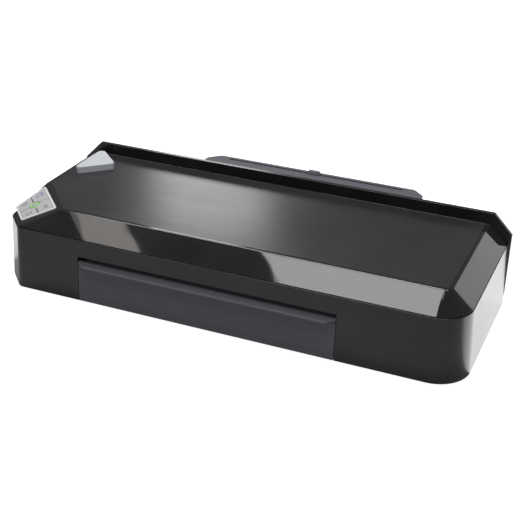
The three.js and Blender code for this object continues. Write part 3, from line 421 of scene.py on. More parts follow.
def slab(outline, low, high, cut_low=0.0, cut_high=0.0, place=None, steps=4):
    """A step that makes a plate between two heights, with rounded upper and lower edges.

    outline(margin) gives its outline moved inwards, and place turns a point of the plate's own
    frame into the row's frame."""
    def step(bm):
        field = 3 * max(cut_low, cut_high, 0.2 * MM)
        rings = [lifted(outline(margin), z, place)
                 for margin, z in ((field, low), (0, low), (0, high), (field, high))]
        loft(bm, softened(rings, (0, cut_low, cut_high, 0), steps))
    return step


# ---- Node groups and finishes -------------------------------------------------------------------


def node(tree, kind, settings=(), **sockets):
    """A node with its settings, whose sockets take a value or another node's output."""
    made = tree.nodes.new(kind)
    for key, value in dict(settings).items():
        setattr(made, key, value)
    for key, value in sockets.items():
        socket = made.inputs[int(key[1:]) if key[1:].isdigit() else key.replace("_", " ")]
        if isinstance(value, bpy.types.NodeSocket):
            tree.links.new(value, socket)
        else:
            socket.default_value = value
    return made


def maths(tree, operation, a, b=0.0, clamp=False):
    return node(tree, "ShaderNodeMath", {"operation": operation, "use_clamp": clamp},
                _0=a, _1=b).outputs[0]


def mapped(tree, value, to_low, to_high, from_low=0.3, from_high=0.7):
    """A value brought to another range, from the one that a noise fills if not told otherwise."""
    return node(tree, "ShaderNodeMapRange", Value=value, From_Min=from_low, From_Max=from_high,
                To_Min=to_low, To_Max=to_high).outputs[0]


def blended(tree, factor, a, b):
    return node(tree, "ShaderNodeMix", {"data_type": "RGBA"}, _0=factor, _6=a, _7=b).outputs[2]


def texture(tree, kind, settings=(), **sockets):
    """A texture over the piece's own coordinates, unless it is given others."""
    if "Vector" not in sockets:
        sockets["Vector"] = node(tree, "ShaderNodeTexCoord").outputs["Object"]
    return node(tree, "ShaderNodeTex" + kind, settings, **sockets)


def noise(tree, scale, **sockets):
    return texture(tree, "Noise", Scale=scale, **sockets).outputs[0]


def group(name, inputs, outputs, build, kind="ShaderNodeTree"):
    """A node group, built once. build(tree, inputs) returns its outputs by name."""
    tree = bpy.data.node_groups.get(name)
    if tree:
        return tree
    tree = bpy.data.node_groups.new(name, kind)
    for label, socket_kind, *value in inputs:
        socket = tree.interface.new_socket(name=label, in_out="INPUT", socket_type=socket_kind)
        if value:
            socket.default_value = value[0]
    for label, socket_kind in outputs:
        tree.interface.new_socket(name=label, in_out="OUTPUT", socket_type=socket_kind)
    source = tree.nodes.new("NodeGroupInput")
    target = tree.nodes.new("NodeGroupOutput")
    for label, value in build(tree, source.outputs).items():
        tree.links.new(value, target.inputs[label])
    return tree


FLOAT, COLOUR, SHAPE = "NodeSocketFloat", "NodeSocketColor", "NodeSocketGeometry"


def grain_group():
    """Fine spark-eroded grain, as a height."""
    def build(tree, given):
        fine = noise(tree, given["Scale"], Detail=3.0, Roughness=0.6)
        pits = texture(tree, "Voronoi", Scale=given["Scale"]).outputs[0]
        return {"Height": maths(tree, "ADD", fine, maths(tree, "MULTIPLY", pits, 0.5))}
    return group("Moulded grain", [("Scale", FLOAT, 2600.0)], [("Height", FLOAT)], build)


def handling_group():
    """Light marks on edges, faint mottling and smudges of use."""
    def build(tree, given):
        edge = mapped(tree, node(tree, "ShaderNodeNewGeometry").outputs["Pointiness"],
                      0.0, 1.0, 0.52, 0.62)
        patches = noise(tree, 34.0, Detail=4.0)
        edge = maths(tree, "MULTIPLY", edge, mapped(tree, patches, 0.2, 1.0, 0.4, 0.7))
        worn = maths(tree, "MULTIPLY", edge, given["Edge"], clamp=True)
        cloud = noise(tree, given["Cloud Scale"], Detail=5.0, Roughness=0.62)
        lighter = blended(tree, 0.22, given["Colour"], (1, 1, 1, 1))
        mottled = blended(tree, mapped(tree, cloud, 0.0, 0.06), given["Colour"], lighter)
        smudges = maths(tree, "MULTIPLY", mapped(tree, cloud, -1.0, 1.0), given["Smudge"])
        rough = maths(tree, "ADD", given["Roughness"], smudges)
        return {"Colour": blended(tree, worn, mottled, lighter),
                "Roughness": maths(tree, "ADD", rough, maths(tree, "MULTIPLY", worn, 0.06), True)}
    return group("Handling marks",
                 [("Colour", COLOUR, (0.5, 0.5, 0.5, 1)), ("Roughness", FLOAT, 0.4),
                  ("Edge", FLOAT, 0.3), ("Cloud Scale", FLOAT, 9.0), ("Smudge", FLOAT, 0.03)],
                 [("Colour", COLOUR), ("Roughness", FLOAT)], build)


def streak_group():
    """Fine lines along X, as brushing or drawn film leaves."""
    def stretched(tree, *scale):
        place = node(tree, "ShaderNodeTexCoord").outputs["Object"]
        return node(tree, "ShaderNodeMapping", Vector=place, Scale=scale).outputs[0]

    def build(tree, given):
        return {"Fine": noise(tree, given["Scale"], Vector=stretched(tree, 6, 900, 900),
                              Detail=4.0, Roughness=0.7),
                "Broad": noise(tree, 1.0, Vector=stretched(tree, 5, 60, 60), Detail=3.0)}
    return group("Drawn lines", [("Scale", FLOAT, 1.0)], [("Fine", FLOAT), ("Broad", FLOAT)],
                 build)


def place_group(tree, shared, **sockets):
    return node(tree, "ShaderNodeGroup", {"node_tree": shared}, **sockets)


def rgba(colour):
    return (*colour, 1.0)


def finish(name, colour, rough, edge=0.25, cloud=9.0, smudge=0.03, grain=0.0, depth=0.02,
           **sockets):
    """A finish with handling marks, and grain if it has a scale. Returns its tree and shader."""
    material = bpy.data.materials.new(name)
    material.use_nodes = True
    tree = material.node_tree
    shader = tree.nodes["Principled BSDF"]
    marks = place_group(tree, handling_group(), Colour=rgba(colour), Roughness=rough, Edge=edge,
                        Cloud_Scale=cloud, Smudge=smudge)
    tree.links.new(marks.outputs["Colour"], shader.inputs["Base Color"])
    tree.links.new(marks.outputs["Roughness"], shader.inputs["Roughness"])
    for key, value in sockets.items():
        shader.inputs[key.replace("_", " ")].default_value = value
    if grain:
        height = place_group(tree, grain_group(), Scale=grain).outputs["Height"]
        raised(tree, shader, height, depth)
    return tree, shader


def raised(tree, shader, height, depth):
    """Relief from a height, whose depth is given in millimetres."""
    bump = node(tree, "ShaderNodeBump", Height=height, Strength=1.0, Distance=depth * MM)
    tree.links.new(bump.outputs[0], shader.inputs["Normal"])


def changed(tree, socket, change):
    """Puts a change between a socket and what feeds it."""
    tree.links.new(change(socket.links[0].from_socket), socket)


def wavy_gloss(name, colour, rough=0.035, coat=0.6):
    """Piano black: mirror gloss with the slight waviness of a moulded face."""
    tree, shader = finish(name, colour, rough, edge=0.1, smudge=0.012, cloud=14.0, IOR=1.5,
                          Coat_Weight=coat, Coat_Roughness=0.02)
    swell = noise(tree, 13.0, Detail=1.0)
    peel = noise(tree, 420.0, Detail=1.0)
    raised(tree, shader, maths(tree, "ADD", swell, maths(tree, "MULTIPLY", peel, 0.004)), 0.9)


def satin_film(name, colour, rough):
    """Satin inlay with faint drawn lines along its length."""
    tree, shader = finish(name, colour, rough, edge=0.15, smudge=0.02, cloud=7.0, IOR=1.5)
    lines = place_group(tree, streak_group(), Scale=1.0).outputs
    uneven = mapped(tree, lines["Broad"], -0.012, 0.012)
    changed(tree, shader.inputs["Roughness"], lambda plain: maths(tree, "ADD", plain, uneven))
    raised(tree, shader, lines["Fine"], 0.003)


def metal(name, colour, rough):
    """Bare metal with drawn lines."""
    tree, shader = finish(name, colour, rough, edge=0.3, smudge=0.06, cloud=40.0, Metallic=1.0)
    lines = place_group(tree, streak_group(), Scale=1.0).outputs
    raised(tree, shader, lines["Fine"], 0.02)


def flake_paint(name, colour):
    """Silver paint whose fine flakes lie at slightly different angles, with painted glints on some
    flakes.
    """
    tree, shader = finish(name, colour, 0.26, edge=0.35, smudge=0.02, Metallic=0.6,
                          Coat_Weight=0.25, Coat_Roughness=0.25)
    flakes = texture(tree, "Voronoi", Scale=3200.0).outputs["Color"]
    bright = node(tree, "ShaderNodeSeparateColor", Color=flakes).outputs[0]
    # Painted glint: a random share of the flakes is lightened towards white in the base colour.
    painted_glint = mapped(tree, bright, 0.0, 0.3, 0.75, 1.0)
    changed(tree, shader.inputs["Base Color"],
            lambda base: blended(tree, painted_glint, base, (1, 1, 1, 1)))
    raised(tree, shader, bright, 0.004)


def patterned(name, colour, other, rough, factor, relief, **sockets):
    """A finish that alternates between two colours. factor(tree) gives the pattern."""
    tree, shader = finish(name, colour, rough, **sockets)
    pattern = factor(tree)
    changed(tree, shader.inputs["Base Color"],
            lambda base: blended(tree, pattern, base, rgba(other)))
    raised(tree, shader, pattern, relief)


def weave(tree):
    across = [texture(tree, "Wave", {"bands_direction": way}, Scale=420.0).outputs["Fac"]
              for way in ("X", "Y")]
    return maths(tree, "MULTIPLY", *across)


def cells(tree):
    found = texture(tree, "Voronoi", Scale=1500.0).outputs[0]
    return mapped(tree, found, 1.0, 0.0, 0.1, 0.7)


def windings(tree):
    return texture(tree, "Wave", {"bands_direction": "Z"}, Scale=500.0,
                   Distortion=0.6).outputs["Fac"]


def tracks(tree):
    found = texture(tree, "Brick", Scale=160.0, Mortar_Size=0.03).outputs["Fac"]
    return mapped(tree, found, 0.0, 0.8, 0.0, 1.0)


def lit_lens(name, colour):
    """Translucent green that glows faintly and unevenly."""
    tree, shader = finish(name, colour, 0.25, edge=0.0, smudge=0.02)
    brighter = rgba([min(1, c * 1.25) for c in colour])
    glow = blended(tree, mapped(tree, noise(tree, 300.0), 0.0, 1.0), rgba(colour), brighter)
    tree.links.new(glow, shader.inputs["Emission Color"])
    shader.inputs["Emission Strength"].default_value = 0.35


INKS = {"seal ink": (0.05, 0.07, 0.3), "key ink": (0.03, 0.03, 0.035),
        "power ink": (0.2, 0.5, 0.1)}


def make_finishes(look):
    """One material for each of the record's slots, one for the rim, and the keys' inks."""
    finish("housing black", look.housing, look.housing_rough, grain=2400.0, depth=0.012, edge=0.3,
           smudge=0.03, IOR=1.5, Coat_Weight=0.4, Coat_Roughness=0.22)
    wavy_gloss("gloss black", look.bezel)
    wavy_gloss("rim black", look.bezel, 0.22, 0.0)
    satin_film("satin top", look.inlay, look.inlay_rough)
    finish("charcoal", look.charcoal, 0.4, grain=1900.0, depth=0.02, edge=0.3, smudge=0.04,
           IOR=1.5)
    flake_paint("silver", look.silver)
    finish("panel white", look.panel, 0.3, grain=3000.0, depth=0.004, edge=0.1, Metallic=0.1)
    finish("key grey", look.keys, 0.42, grain=3000.0, depth=0.008, edge=0.15)
    lit_lens("ring green", look.ring)
    finish("rubber", (0.012, 0.012, 0.012), 0.8, grain=1400.0, depth=0.03, smudge=0.06)
    patterned("foam", (0.018, 0.018, 0.02), (0.004, 0.004, 0.004), 0.95, cells, 0.08)
    finish("silicone", (0.36, 0.06, 0.035), 0.55, grain=900.0, depth=0.02, smudge=0.05)
    metal("steel", (0.5, 0.51, 0.53), 0.32)
    metal("brass", (0.62, 0.42, 0.16), 0.3)
    patterned("release tape", (0.3, 0.18, 0.08), (0.18, 0.1, 0.045), 0.5, weave, 0.03)
    patterned("circuit board", (0.012, 0.1, 0.035), (0.03, 0.2, 0.07), 0.4, tracks, 0.02)
    patterned("copper", (0.45, 0.17, 0.06), (0.2, 0.07, 0.025), 0.35, windings, 0.08,
              Metallic=0.7)
    finish("ivory", (0.6, 0.57, 0.46), 0.45, grain=1200.0, depth=0.01)
    for name, colour in INKS.items():
        finish(name, colour, 0.5, edge=0.0, cloud=60.0, smudge=0.05)


def material_of(slot):
    """The finish of a slot, made from the scene's colours when it is first asked for."""
    name = slot.replace("_", " ")
    if name not in bpy.data.materials:
        make_finishes(bpy.context.scene.sealer_finish)
    return bpy.data.materials[name]


# ---- Pieces -------------------------------------------------------------------------------------


class SealerOperator(bpy.types.Operator):
    """What every step of the build shares."""

    bl_options = {"REGISTER", "UNDO"}

    def given(self, context):
        """The body's outlines, the shells' sizes and the controls' sizes."""
        scene = context.scene
        return (Body(scene.sealer_shell, scene.sealer_controls), scene.sealer_shell,
                scene.sealer_controls)


VENT_LEFT, VENT_PITCH, VENT_COUNT = 28 * MM, 11 * MM, 6
VENT_WIDTH, VENT_RISE, VENT_HEIGHT, VENT_CORNER = 4 * MM, 30 * MM, 34 * MM, 1.9 * MM
INLET_FLANGE = 3 * MM
SLOT_HEIGHT, SLOT_CORNER = 5.7 * MM, 2.0 * MM
BASE_TOP = 5.5 * MM + GAP
POST_HALF, POST_CORNER, POST_BELOW_SEAM, PILOT_TOP = 5 * MM, 1 * MM, 20 * MM, 14.5 * MM


def rear_openings(body, y0, y1):
    """Steps that make the cutters for the vents and for the mains inlet."""
    def vents(bm):
        low = body.base + VENT_RISE
        for i in range(VENT_COUNT):
            x = body.left + VENT_LEFT + i * VENT_PITCH
            outline = filleted(rectangle(x, low, x + VENT_WIDTH, low + VENT_HEIGHT),
                               [VENT_CORNER] * 4, [4] * 4)
            loft(bm, [upright(outline, y) for y in (y0, y1)])

    def inlet(bm):
        low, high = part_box("power_inlet")
        inward = INLET_FLANGE - GAP
        brick(bm, (low.x + inward, y0, low.z + inward), (high.x - inward, y1, high.z - inward))

    return vents, inlet


class SEALER_OT_housing(SealerOperator):
    """Skirt with its front opening, rear vents and screw posts"""

    bl_idname = "sealer.housing"
    bl_label = "Lower housing"

    def execute(self, context):
        body, shell, _ = self.given(context)
        top = body.seam - shell.seam_gap
        rings = [body.seam_ring(body.wall(1), body.base),
                 body.seam_ring(body.wall(0), top),
                 body.seam_ring(body.wall(0, shell.wall), top),
                 body.seam_ring(body.wall(1, shell.wall), body.base)]
        rounding = (0.6 * MM, shell.lip_round, 0.5 * MM, 0.4 * MM)
        housing = shell_of("lower_housing_shell", rings, rounding, 5)

        low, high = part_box("drip_tray")
        outline = filleted(
            rectangle(low.x - 2 * GAP, -REACH, high.x + 2 * GAP, high.z + SLOT_HEIGHT),
            [0.1 * MM, 0.1 * MM, SLOT_CORNER, SLOT_CORNER], [1, 1, 5, 5])
        opening = [upright(outline, y) for y in (body.front - REACH, body.front + REACH)]
        carved(housing, lambda bm: loft(bm, opening),
               *rear_openings(body, body.rear - REACH, body.rear + REACH / 4))
        edged(housing, 0.45 * MM)
        placed(housing, "casing", "housing_black", "lower_housing")
        for name in ("front_left", "front_right", "rear_left", "rear_right"):
            self.screw_post(name, body.seam - POST_BELOW_SEAM)
        return {"FINISHED"}

    def screw_post(self, name, top):
        low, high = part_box(f"base_screw_{name}")
        middle = (low + high) / 2
        corners = rectangle(middle.x - POST_HALF, middle.y - POST_HALF,
                            middle.x + POST_HALF, middle.y + POST_HALF)

        def outline(margin):
            return filleted(moved_edges(corners, [-margin] * 4), [POST_CORNER] * 4, [3] * 4)

        post = made_by(f"screw_post_{name}", slab(outline, BASE_TOP, top, 0.3 * MM, 0.5 * MM))
        pilot = circle(middle.x, middle.y, (high.x - low.x) / 4 + GAP, 16)
        carved(post, lambda bm: loft(bm, [lifted(pilot, z)
                                          for z in (BASE_TOP - 1 * MM, PILOT_TOP)]))
        placed(post, "casing", "housing_black")


FACET_RUNS = (12.1, 26.0, 22.5, 21.8)  # left, control, front and right facet, in millimetres
INLAY_DEPTH, POCKET_DEPTH, WINDOW_BORDER, BUTTON_ROOM = 1.5 * MM, 1.5 * MM, 3.6 * MM, 2.9 * MM


class SEALER_OT_bezel(SealerOperator):
    """Gloss bezel with its facets, the inlay's recess and the control panel's pocket"""

    bl_idname = "sealer.bezel"
    bl_label = "Top bezel"

    def execute(self, context):
        body, shell, sizes = self.given(context)
        wall, margin = shell.wall, shell.inlay_margin
        ledge = margin + shell.inlay_ledge
        recess = body.top - INLAY_DEPTH - GAP
        rise = body.top - body.seam
        low_in = [-wall * math.hypot(run * MM, rise) / rise for run in FACET_RUNS] + [-wall]
        rings = [
            body.seam_ring([0] * 5, body.seam),
            body.top_ring(0, body.top, 0.01 * MM),
            body.top_ring(margin, body.top),
            body.top_ring(margin, recess),
            body.top_ring(ledge, recess),
            body.top_ring(ledge, body.top - wall),
            body.top_ring(1.0 * MM, body.top - wall, wall),
            body.seam_ring(low_in, body.seam)]
        rounding = [0.5 * MM, shell.crease_round, 0.5 * MM, 0.2 * MM, 0.2 * MM, 0, 0, 0.2 * MM]
        bezel = shell_of("top_bezel_shell", rings, rounding, 6)
        panel, button = panel_outline(sizes), button_outline(sizes)
        carved(bezel, slab(lambda m: panel(m - GAP), -POCKET_DEPTH, REACH, place=body.facet))
        carved(bezel, slab(lambda m: panel(m + WINDOW_BORDER), -REACH / 2, 0, place=body.facet))
        carved(bezel, slab(lambda m: button(m - BUTTON_ROOM), body.top - REACH, body.top + REACH))
        placed(bezel, "casing", "gloss_black", "top_bezel", angle=35)
        return {"FINISHED"}


class SEALER_OT_inlay(SealerOperator):
    """Satin inlay in the flat top, with the start button's hole"""

    bl_idname = "sealer.inlay"
    bl_label = "Top inlay"

    def execute(self, context):
        body, shell, sizes = self.given(context)
        margin = shell.inlay_margin + GAP
        low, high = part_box("top_panel")
        inlay = made_by("top_inlay", slab(lambda m: body.top_outline(margin + m), low.z, high.z))
        button = button_outline(sizes)
        carved(inlay, slab(lambda m: button(m - 2 * GAP), low.z - REACH, high.z + REACH))
        edged(inlay, 0.45 * MM, 4)
        placed(inlay, "casing", "satin_top", "top_panel")
        return {"FINISHED"}


RIM_CORNER_RUN, RIM_CORNER_DROP = 21.8 * MM, 22.1 * MM
STANDING = Matrix(((1, 0, 0, 0), (0, 0, -1, 0), (0, 1, 0, 0), (0, 0, 0, 1)))


class SEALER_OT_rim(SealerOperator):
    """Upright rim behind the body"""

    bl_idname = "sealer.rim"
    bl_label = "Rear rim"

    def execute(self, context):
        body, _, _ = self.given(context)
        low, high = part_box("rear_rim")
        corner_x, shoulder = high.x - RIM_CORNER_RUN, high.z - RIM_CORNER_DROP
        corners = [Vector(p) for p in (
            (low.x, low.z), (high.x, low.z), (high.x, shoulder), (corner_x, high.z),
            (-corner_x, high.z), (low.x, shoulder))]
        outline = shrinking(corners, (2, 2, 1.6, 1.6, 1.6, 1.6), 0.2 * MM, 5)
        rim = made_by("rear_rim_plate",
                      slab(outline, -high.y, -low.y, 0.5 * MM, 0.5 * MM, STANDING))
        carved(rim, *rear_openings(body, low.y - REACH / 4, high.y + REACH / 4))
        placed(rim, "casing", "gloss_black", "rear_rim", finish_name="rim_black")
        return {"FINISHED"}


LIP_REACH, LIP_DROP, LIP_THICKNESS = 10 * MM, 1.5 * MM, 2 * MM
TRAY_PANEL, TRAY_WALL, TRAY_TOP = 3 * MM, 2 * MM, 26.8 * MM
LIP_END_CUT = 0.92 * MM
TROUGH_SIDE, TROUGH_FIELD = 4 * MM, 4 * MM


class SEALER_OT_tray(SealerOperator):
    """Drip tray: front panel with its lip, and the trough behind it"""

    bl_idname = "sealer.tray"
    bl_label = "Drip tray"

    def execute(self, context):
        body, shell, _ = self.given(context)
        low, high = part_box("drip_tray")
        front = body.front
        lip_front = high.z - LIP_DROP
        lip_under = lip_front - LIP_THICKNESS

        def front_at(z):
            share_down = (body.seam - z) / (body.seam - body.base)
            return front - shell.seam_step - shell.front_flare * share_down

        section = [(front_at(low.z), low.z), (front + TRAY_PANEL, low.z),
                   (front + TRAY_PANEL, high.z), (front, high.z),
                   (front - LIP_REACH, lip_front), (front - LIP_REACH, lip_under),
                   (front_at(lip_under), lip_under)]
        piece = made_by("drip_tray_front", lambda bm: loft(
            bm, [[Vector((x, y, z)) for y, z in section] for x in (low.x, high.x)]))

        def lip_ends(bm):
            for x, side in ((low.x, 1), (high.x, -1)):
                outer, ahead = x - side * MM, front - REACH
                points = [Vector(p) for p in ((outer, front_at(lip_under) + LIP_END_CUT),
                                              (outer, ahead), (x + side * REACH, ahead))]
                loft(bm, [lifted(points, z) for z in (lip_under - MM, high.z + MM)])

        carved(piece, lip_ends)
        edged(piece, 0.55 * MM, 4)
        placed(piece, "tray", "charcoal", "drip_tray")

        x0, x1 = low.x + TROUGH_SIDE, high.x - TROUGH_SIDE
        y0, y1 = front + TRAY_PANEL, high.y

        def trough(bm):
            floor = BASE_TOP + TRAY_WALL
            rings = []
            for inward, z, corner in (  # from the middle of the underside round to the inside
                    (TROUGH_FIELD, BASE_TOP, 3 * MM), (0, BASE_TOP, 4 * MM),
                    (0, TRAY_TOP, 4 * MM), (TRAY_WALL, TRAY_TOP, 2.5 * MM),
                    (TRAY_WALL, floor, 2.5 * MM), (TRAY_WALL + TROUGH_FIELD, floor, 1.5 * MM)):
                corners = rectangle(x0 + inward, y0, x1 - inward, y1 - inward)
                radii = (0.1 * MM, 0.1 * MM, corner, corner)
                rings.append(lifted(filleted(corners, radii, (2, 2, 6, 6)), z))
            loft(bm, softened(rings, (0, 1.2 * MM, 0.4 * MM, 0.4 * MM, 1.5 * MM, 0)))

        placed(made_by("drip_tray_trough", trough), "tray", "charcoal", "drip_tray")
        return {"FINISHED"}


BUTTON_TIP = 4.2 * MM  # from the rounded corner's end out to where its sides would meet


def button_outline(sizes):
    """The start button's outline in the row's frame, for a margin inwards."""
    low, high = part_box("start_button")
    corners = [Vector((0, 0)), Vector((sizes.button_width, sizes.button_length / 2)),
               Vector((0, sizes.button_length))]
    start = Vector((low.x, high.y)) + Vector((0, BUTTON_TIP - sizes.button_length))
    plain = shrinking(corners, (4.6, 4.6, 5.6), 0.25 * MM, 8)
    return lambda margin: [p + start for p in plain(margin)]


class SEALER_OT_button(SealerOperator):
    """Silver start button"""

    bl_idname = "sealer.button"
    bl_label = "Start button"

    def execute(self, context):
        sizes = self.given(context)[2]
        low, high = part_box("start_button")
        button = made_by("start_button_cap", slab(
            button_outline(sizes), low.z, high.z, 0.4 * MM, sizes.button_round, steps=6))
        placed(button, "start", "silver", "start_button", angle=60)
        return {"FINISHED"}


def panel_corners(sizes):
    """The control panel's corners in the facet's frame."""
    half, top, bottom = sizes.panel_height / 2, sizes.panel_top / 2, sizes.panel_bottom / 2
    return [Vector(p) for p in ((-bottom, -half), (bottom, -half), (top, half), (-top, half))]


def panel_outline(sizes):
    """The control panel's outline in the facet's frame, for a margin inwards."""
    return shrinking(panel_corners(sizes), (2.0, 2.0, 2.8, 2.8), 0.5 * MM, 5)


def quarter_outline(sizes, side_x, side_y):
    """One key: a quarter of the panel, parted from its neighbours and from the ring."""
    slope = (sizes.panel_top - sizes.panel_bottom) / 2 / sizes.panel_height
    edge = sizes.border + GAP

    def outline(margin):
        gap = sizes.key_groove / 2 + margin
        radius = sizes.ring_radius + sizes.key_groove + margin
        corners = moved_edges(panel_corners(sizes), [-edge - margin] * 4)
        corner = corners[2] if side_y > 0 else corners[1]
        reach = math.sqrt(radius ** 2 - gap ** 2)
        foot = Vector((corner.x - (corner.y - side_y * gap) * slope, side_y * gap))
        head = Vector((gap, corner.y))
        round_by = 1.6 * MM - min(margin, 1.2 * MM)
        bend = filleted([head, corner, foot][::-side_y],
                        [0.05 * MM, round_by, 0.05 * MM], (1, 5, 1))[2:8][::-side_y]
        inner = arc(0, 0, radius, side_y * math.atan2(reach, gap),
                    side_y * math.atan2(gap, reach), 10)
        return [Vector((side_x * p.x, p.y)) for p in (head, *bend, foot, *inner[::-1])]

    return outline


def ribbon(points, width, low, high, place):
    """A step that makes a thin flat line along points in the facet's frame."""
    def step(bm):
        rings = []
        for before, p, after in zip(points[:1] + points, points, points[1:] + points[-1:]):
            along = (after - before).normalized()
            out = Vector((-along.y, along.x)) * width / 2
            left, right = p + out, p - out
            rings.append([place @ Vector((q.x, q.y, z)) for q, z in (
                (left, low), (right, low), (right, high), (left, high))])
        loft(bm, rings)
    return step


def bow(y, radius, start, stop, steps):
    """An arc about a point above or below the symbol's middle, with its angles in degrees."""
    return arc(0, y, radius, math.radians(start), math.radians(stop), steps)


SYMBOLS = {  # plain lines of each key's symbol about its own middle, in millimetres
    "seal": [[(-3.6, 2.6), (3.6, 2.6)], [(-3.6, 1.4), (3.6, 1.4)],
             [(-2.8, 0.6), (-2.8, -3.2), (2.8, -3.2), (2.8, 0.6)]],
    "pulse": [bow(0, 1.0, 0, 330, 14), bow(0, 2.6, -50, 50, 8), bow(0, 2.6, 130, 230, 8)],
    "food": [[(0, 3.0), (1.3, 0.9), *bow(-0.6, 1.9, 30, -210, 14), (-1.3, 0.9), (0, 3.0)]],
    "release": [[(0, -1.4), (0, 3.0)], [(-1.5, 1.5), (0, 3.0), (1.5, 1.5)],
                [(-2.8, -0.6), (-2.8, -2.6), (2.8, -2.6), (2.8, -0.6)]],
    "power": [bow(0, 2.4, 125, 415, 20), [(0, 0.8), (0, 3.2)]],
}
SYMBOL_STYLES = {  # place on the panel in millimetres, size and ink
    "seal": ((-17, 10.5), 1.25, "seal ink"), "pulse": ((17, 10.5), 1.25, "key ink"),
    "food": ((-13, -9.5), 1.25, "key ink"), "release": ((13, -9.5), 1.25, "key ink"),
    "power": ((0, 0), 0.9, "power ink"),
}
KEY_SIDES = {"seal": (-1, 1), "pulse": (1, 1), "food": (-1, -1), "release": (1, -1)}
KEY_DEPTH, FRAME_DEPTH = 1.6 * MM, 1.2 * MM


class SEALER_OT_controls(SealerOperator):
    """Control panel: frame, four keys, lit ring, power key and their symbols"""

    bl_idname = "sealer.controls"
    bl_label = "Control panel"

    def execute(self, context):
        body, _, sizes = self.given(context)
        place, top = body.facet, sizes.panel_proud
        under = top - KEY_DEPTH
        panel = panel_outline(sizes)
        border = [lifted(panel(margin), z, place) for margin, z in (
            (0, -FRAME_DEPTH), (0, top), (sizes.border, top), (sizes.border, -FRAME_DEPTH))]
        rounding = (0.1 * MM, 0.6 * MM, 0.25 * MM, 0.1 * MM)
        placed(shell_of("control_panel_frame", border, rounding, 4), "casing", "panel_white",
               "control_frame")
        for name, sides in KEY_SIDES.items():
            cap = slab(quarter_outline(sizes, *sides), under, top, 0, 0.22 * MM, place, 3)
            placed(made_by(f"{name}_key_cap", cap), name, "key_grey", f"{name}_key")

        inner = sizes.ring_radius - sizes.ring_width
        lens = [lifted(circle(0, 0, radius, 48), z, place) for radius, z in (
            (sizes.ring_radius, under), (sizes.ring_radius, top), (inner, top), (inner, under))]
        placed(shell_of("power_ring_lens", lens, (0, 0.35 * MM, 0.35 * MM, 0), 4), "casing",
               "ring_green", "power_ring")
        cap = slab(lambda m: circle(0, 0, inner - GAP - m, 48), under, top + GAP, 0, 0.35 * MM,
                   place)
        placed(made_by("power_key_cap", cap), "power", "key_grey", "power_key")

        for name, (middle, size, ink) in SYMBOL_STYLES.items():
            height = top + (GAP if name == "power" else 0)
            lines = [[Vector(middle) * MM + Vector(p) * (size * MM) for p in line]
                     for line in SYMBOLS[name]]
            symbol = made_by(f"{name}_symbol", *[
                ribbon(line, sizes.stroke, height - 0.03 * MM, height + 0.04 * MM, place)
                for line in lines])
            symbol.data.materials.append(material_of(ink))
            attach(symbol, name)
        return {"FINISHED"}


# ---- Pieces that keep the frame's own shape -----------------------------------------------------


def shade_group():
    """Smooth faces that part at edges sharper than 32 degrees."""
    def build(tree, given):
        angle = node(tree, "GeometryNodeInputMeshEdgeAngle").outputs[0]
        flat = node(tree, "FunctionNodeCompare", {"operation": "LESS_EQUAL"}, _0=angle,
                    _1=math.radians(32)).outputs[0]
        faces = node(tree, "GeometryNodeSetShadeSmooth", Geometry=given[0]).outputs[0]
        edges = node(tree, "GeometryNodeSetShadeSmooth", {"domain": "EDGE"}, Geometry=faces,
                     Shade_Smooth=flat)
        return {"Geometry": edges.outputs[0]}
    return group("Shade by angle", [("Geometry", SHAPE)], [("Geometry", SHAPE)], build,
                 "GeometryNodeTree")


EDGE_WIDTHS = {  # millimetres; 0 leaves the edges sharp
    "base_plate": 0.5, "roll_bay": 0.7, "roll_bay_lid": 0.6, "cutter_slide": 0.5,
    "cam_gear": 0.1, "motor_pinion": 0.08, "button_spring": 0, "platen_spring_left": 0,
    "platen_spring_right": 0, "vacuum_hose": 0, "cutter_blade": 0.02, "lid_hinge_pin": 0.2,
    "heating_strip": 0.05, "pressure_strip": 0.3, "lower_gasket": 0.5, "upper_gasket": 0.5,
    "transformer": 0.6, "vacuum_pump": 0.5, "power_inlet": 0.5,
}


class SEALER_OT_inside(SealerOperator):
    """Finishes and softened edges for the pieces that keep the frame's own shape"""

    bl_idname = "sealer.inside"
    bl_label = "Other pieces"

    def execute(self, context):
        for part in frame["record"]["subparts"]:
            name = part["node"]
            piece = frame["nodes"][name]
            piece.data.materials.clear()
            piece.data.materials.append(material_of(part["material_slot"]))
            if piece.hide_render:
                continue
            modified(piece, "weld", "WELD", merge_threshold=WELD_DISTANCE)
            modified(piece, "faces", "DECIMATE", decimate_type="DISSOLVE",
                     angle_limit=math.radians(0.5))
            width = EDGE_WIDTHS.get(name, 0.3)
            if width:
                edged(piece, width * MM, angle=35)
            modified(piece, "shade", "NODES", node_group=shade_group())
            modified(piece, "normals", "WEIGHTED_NORMAL", keep_sharp=True)
        return {"FINISHED"}


# ---- Studio -------------------------------------------------------------------------------------

CAMERA_PLACE = (0.4221, -1.06315, 0.5972)
CAMERA_TURN = (21.78, 27.04, 1.71)  # azimuth, elevation and roll in degrees
FLOOR_HALF = 6


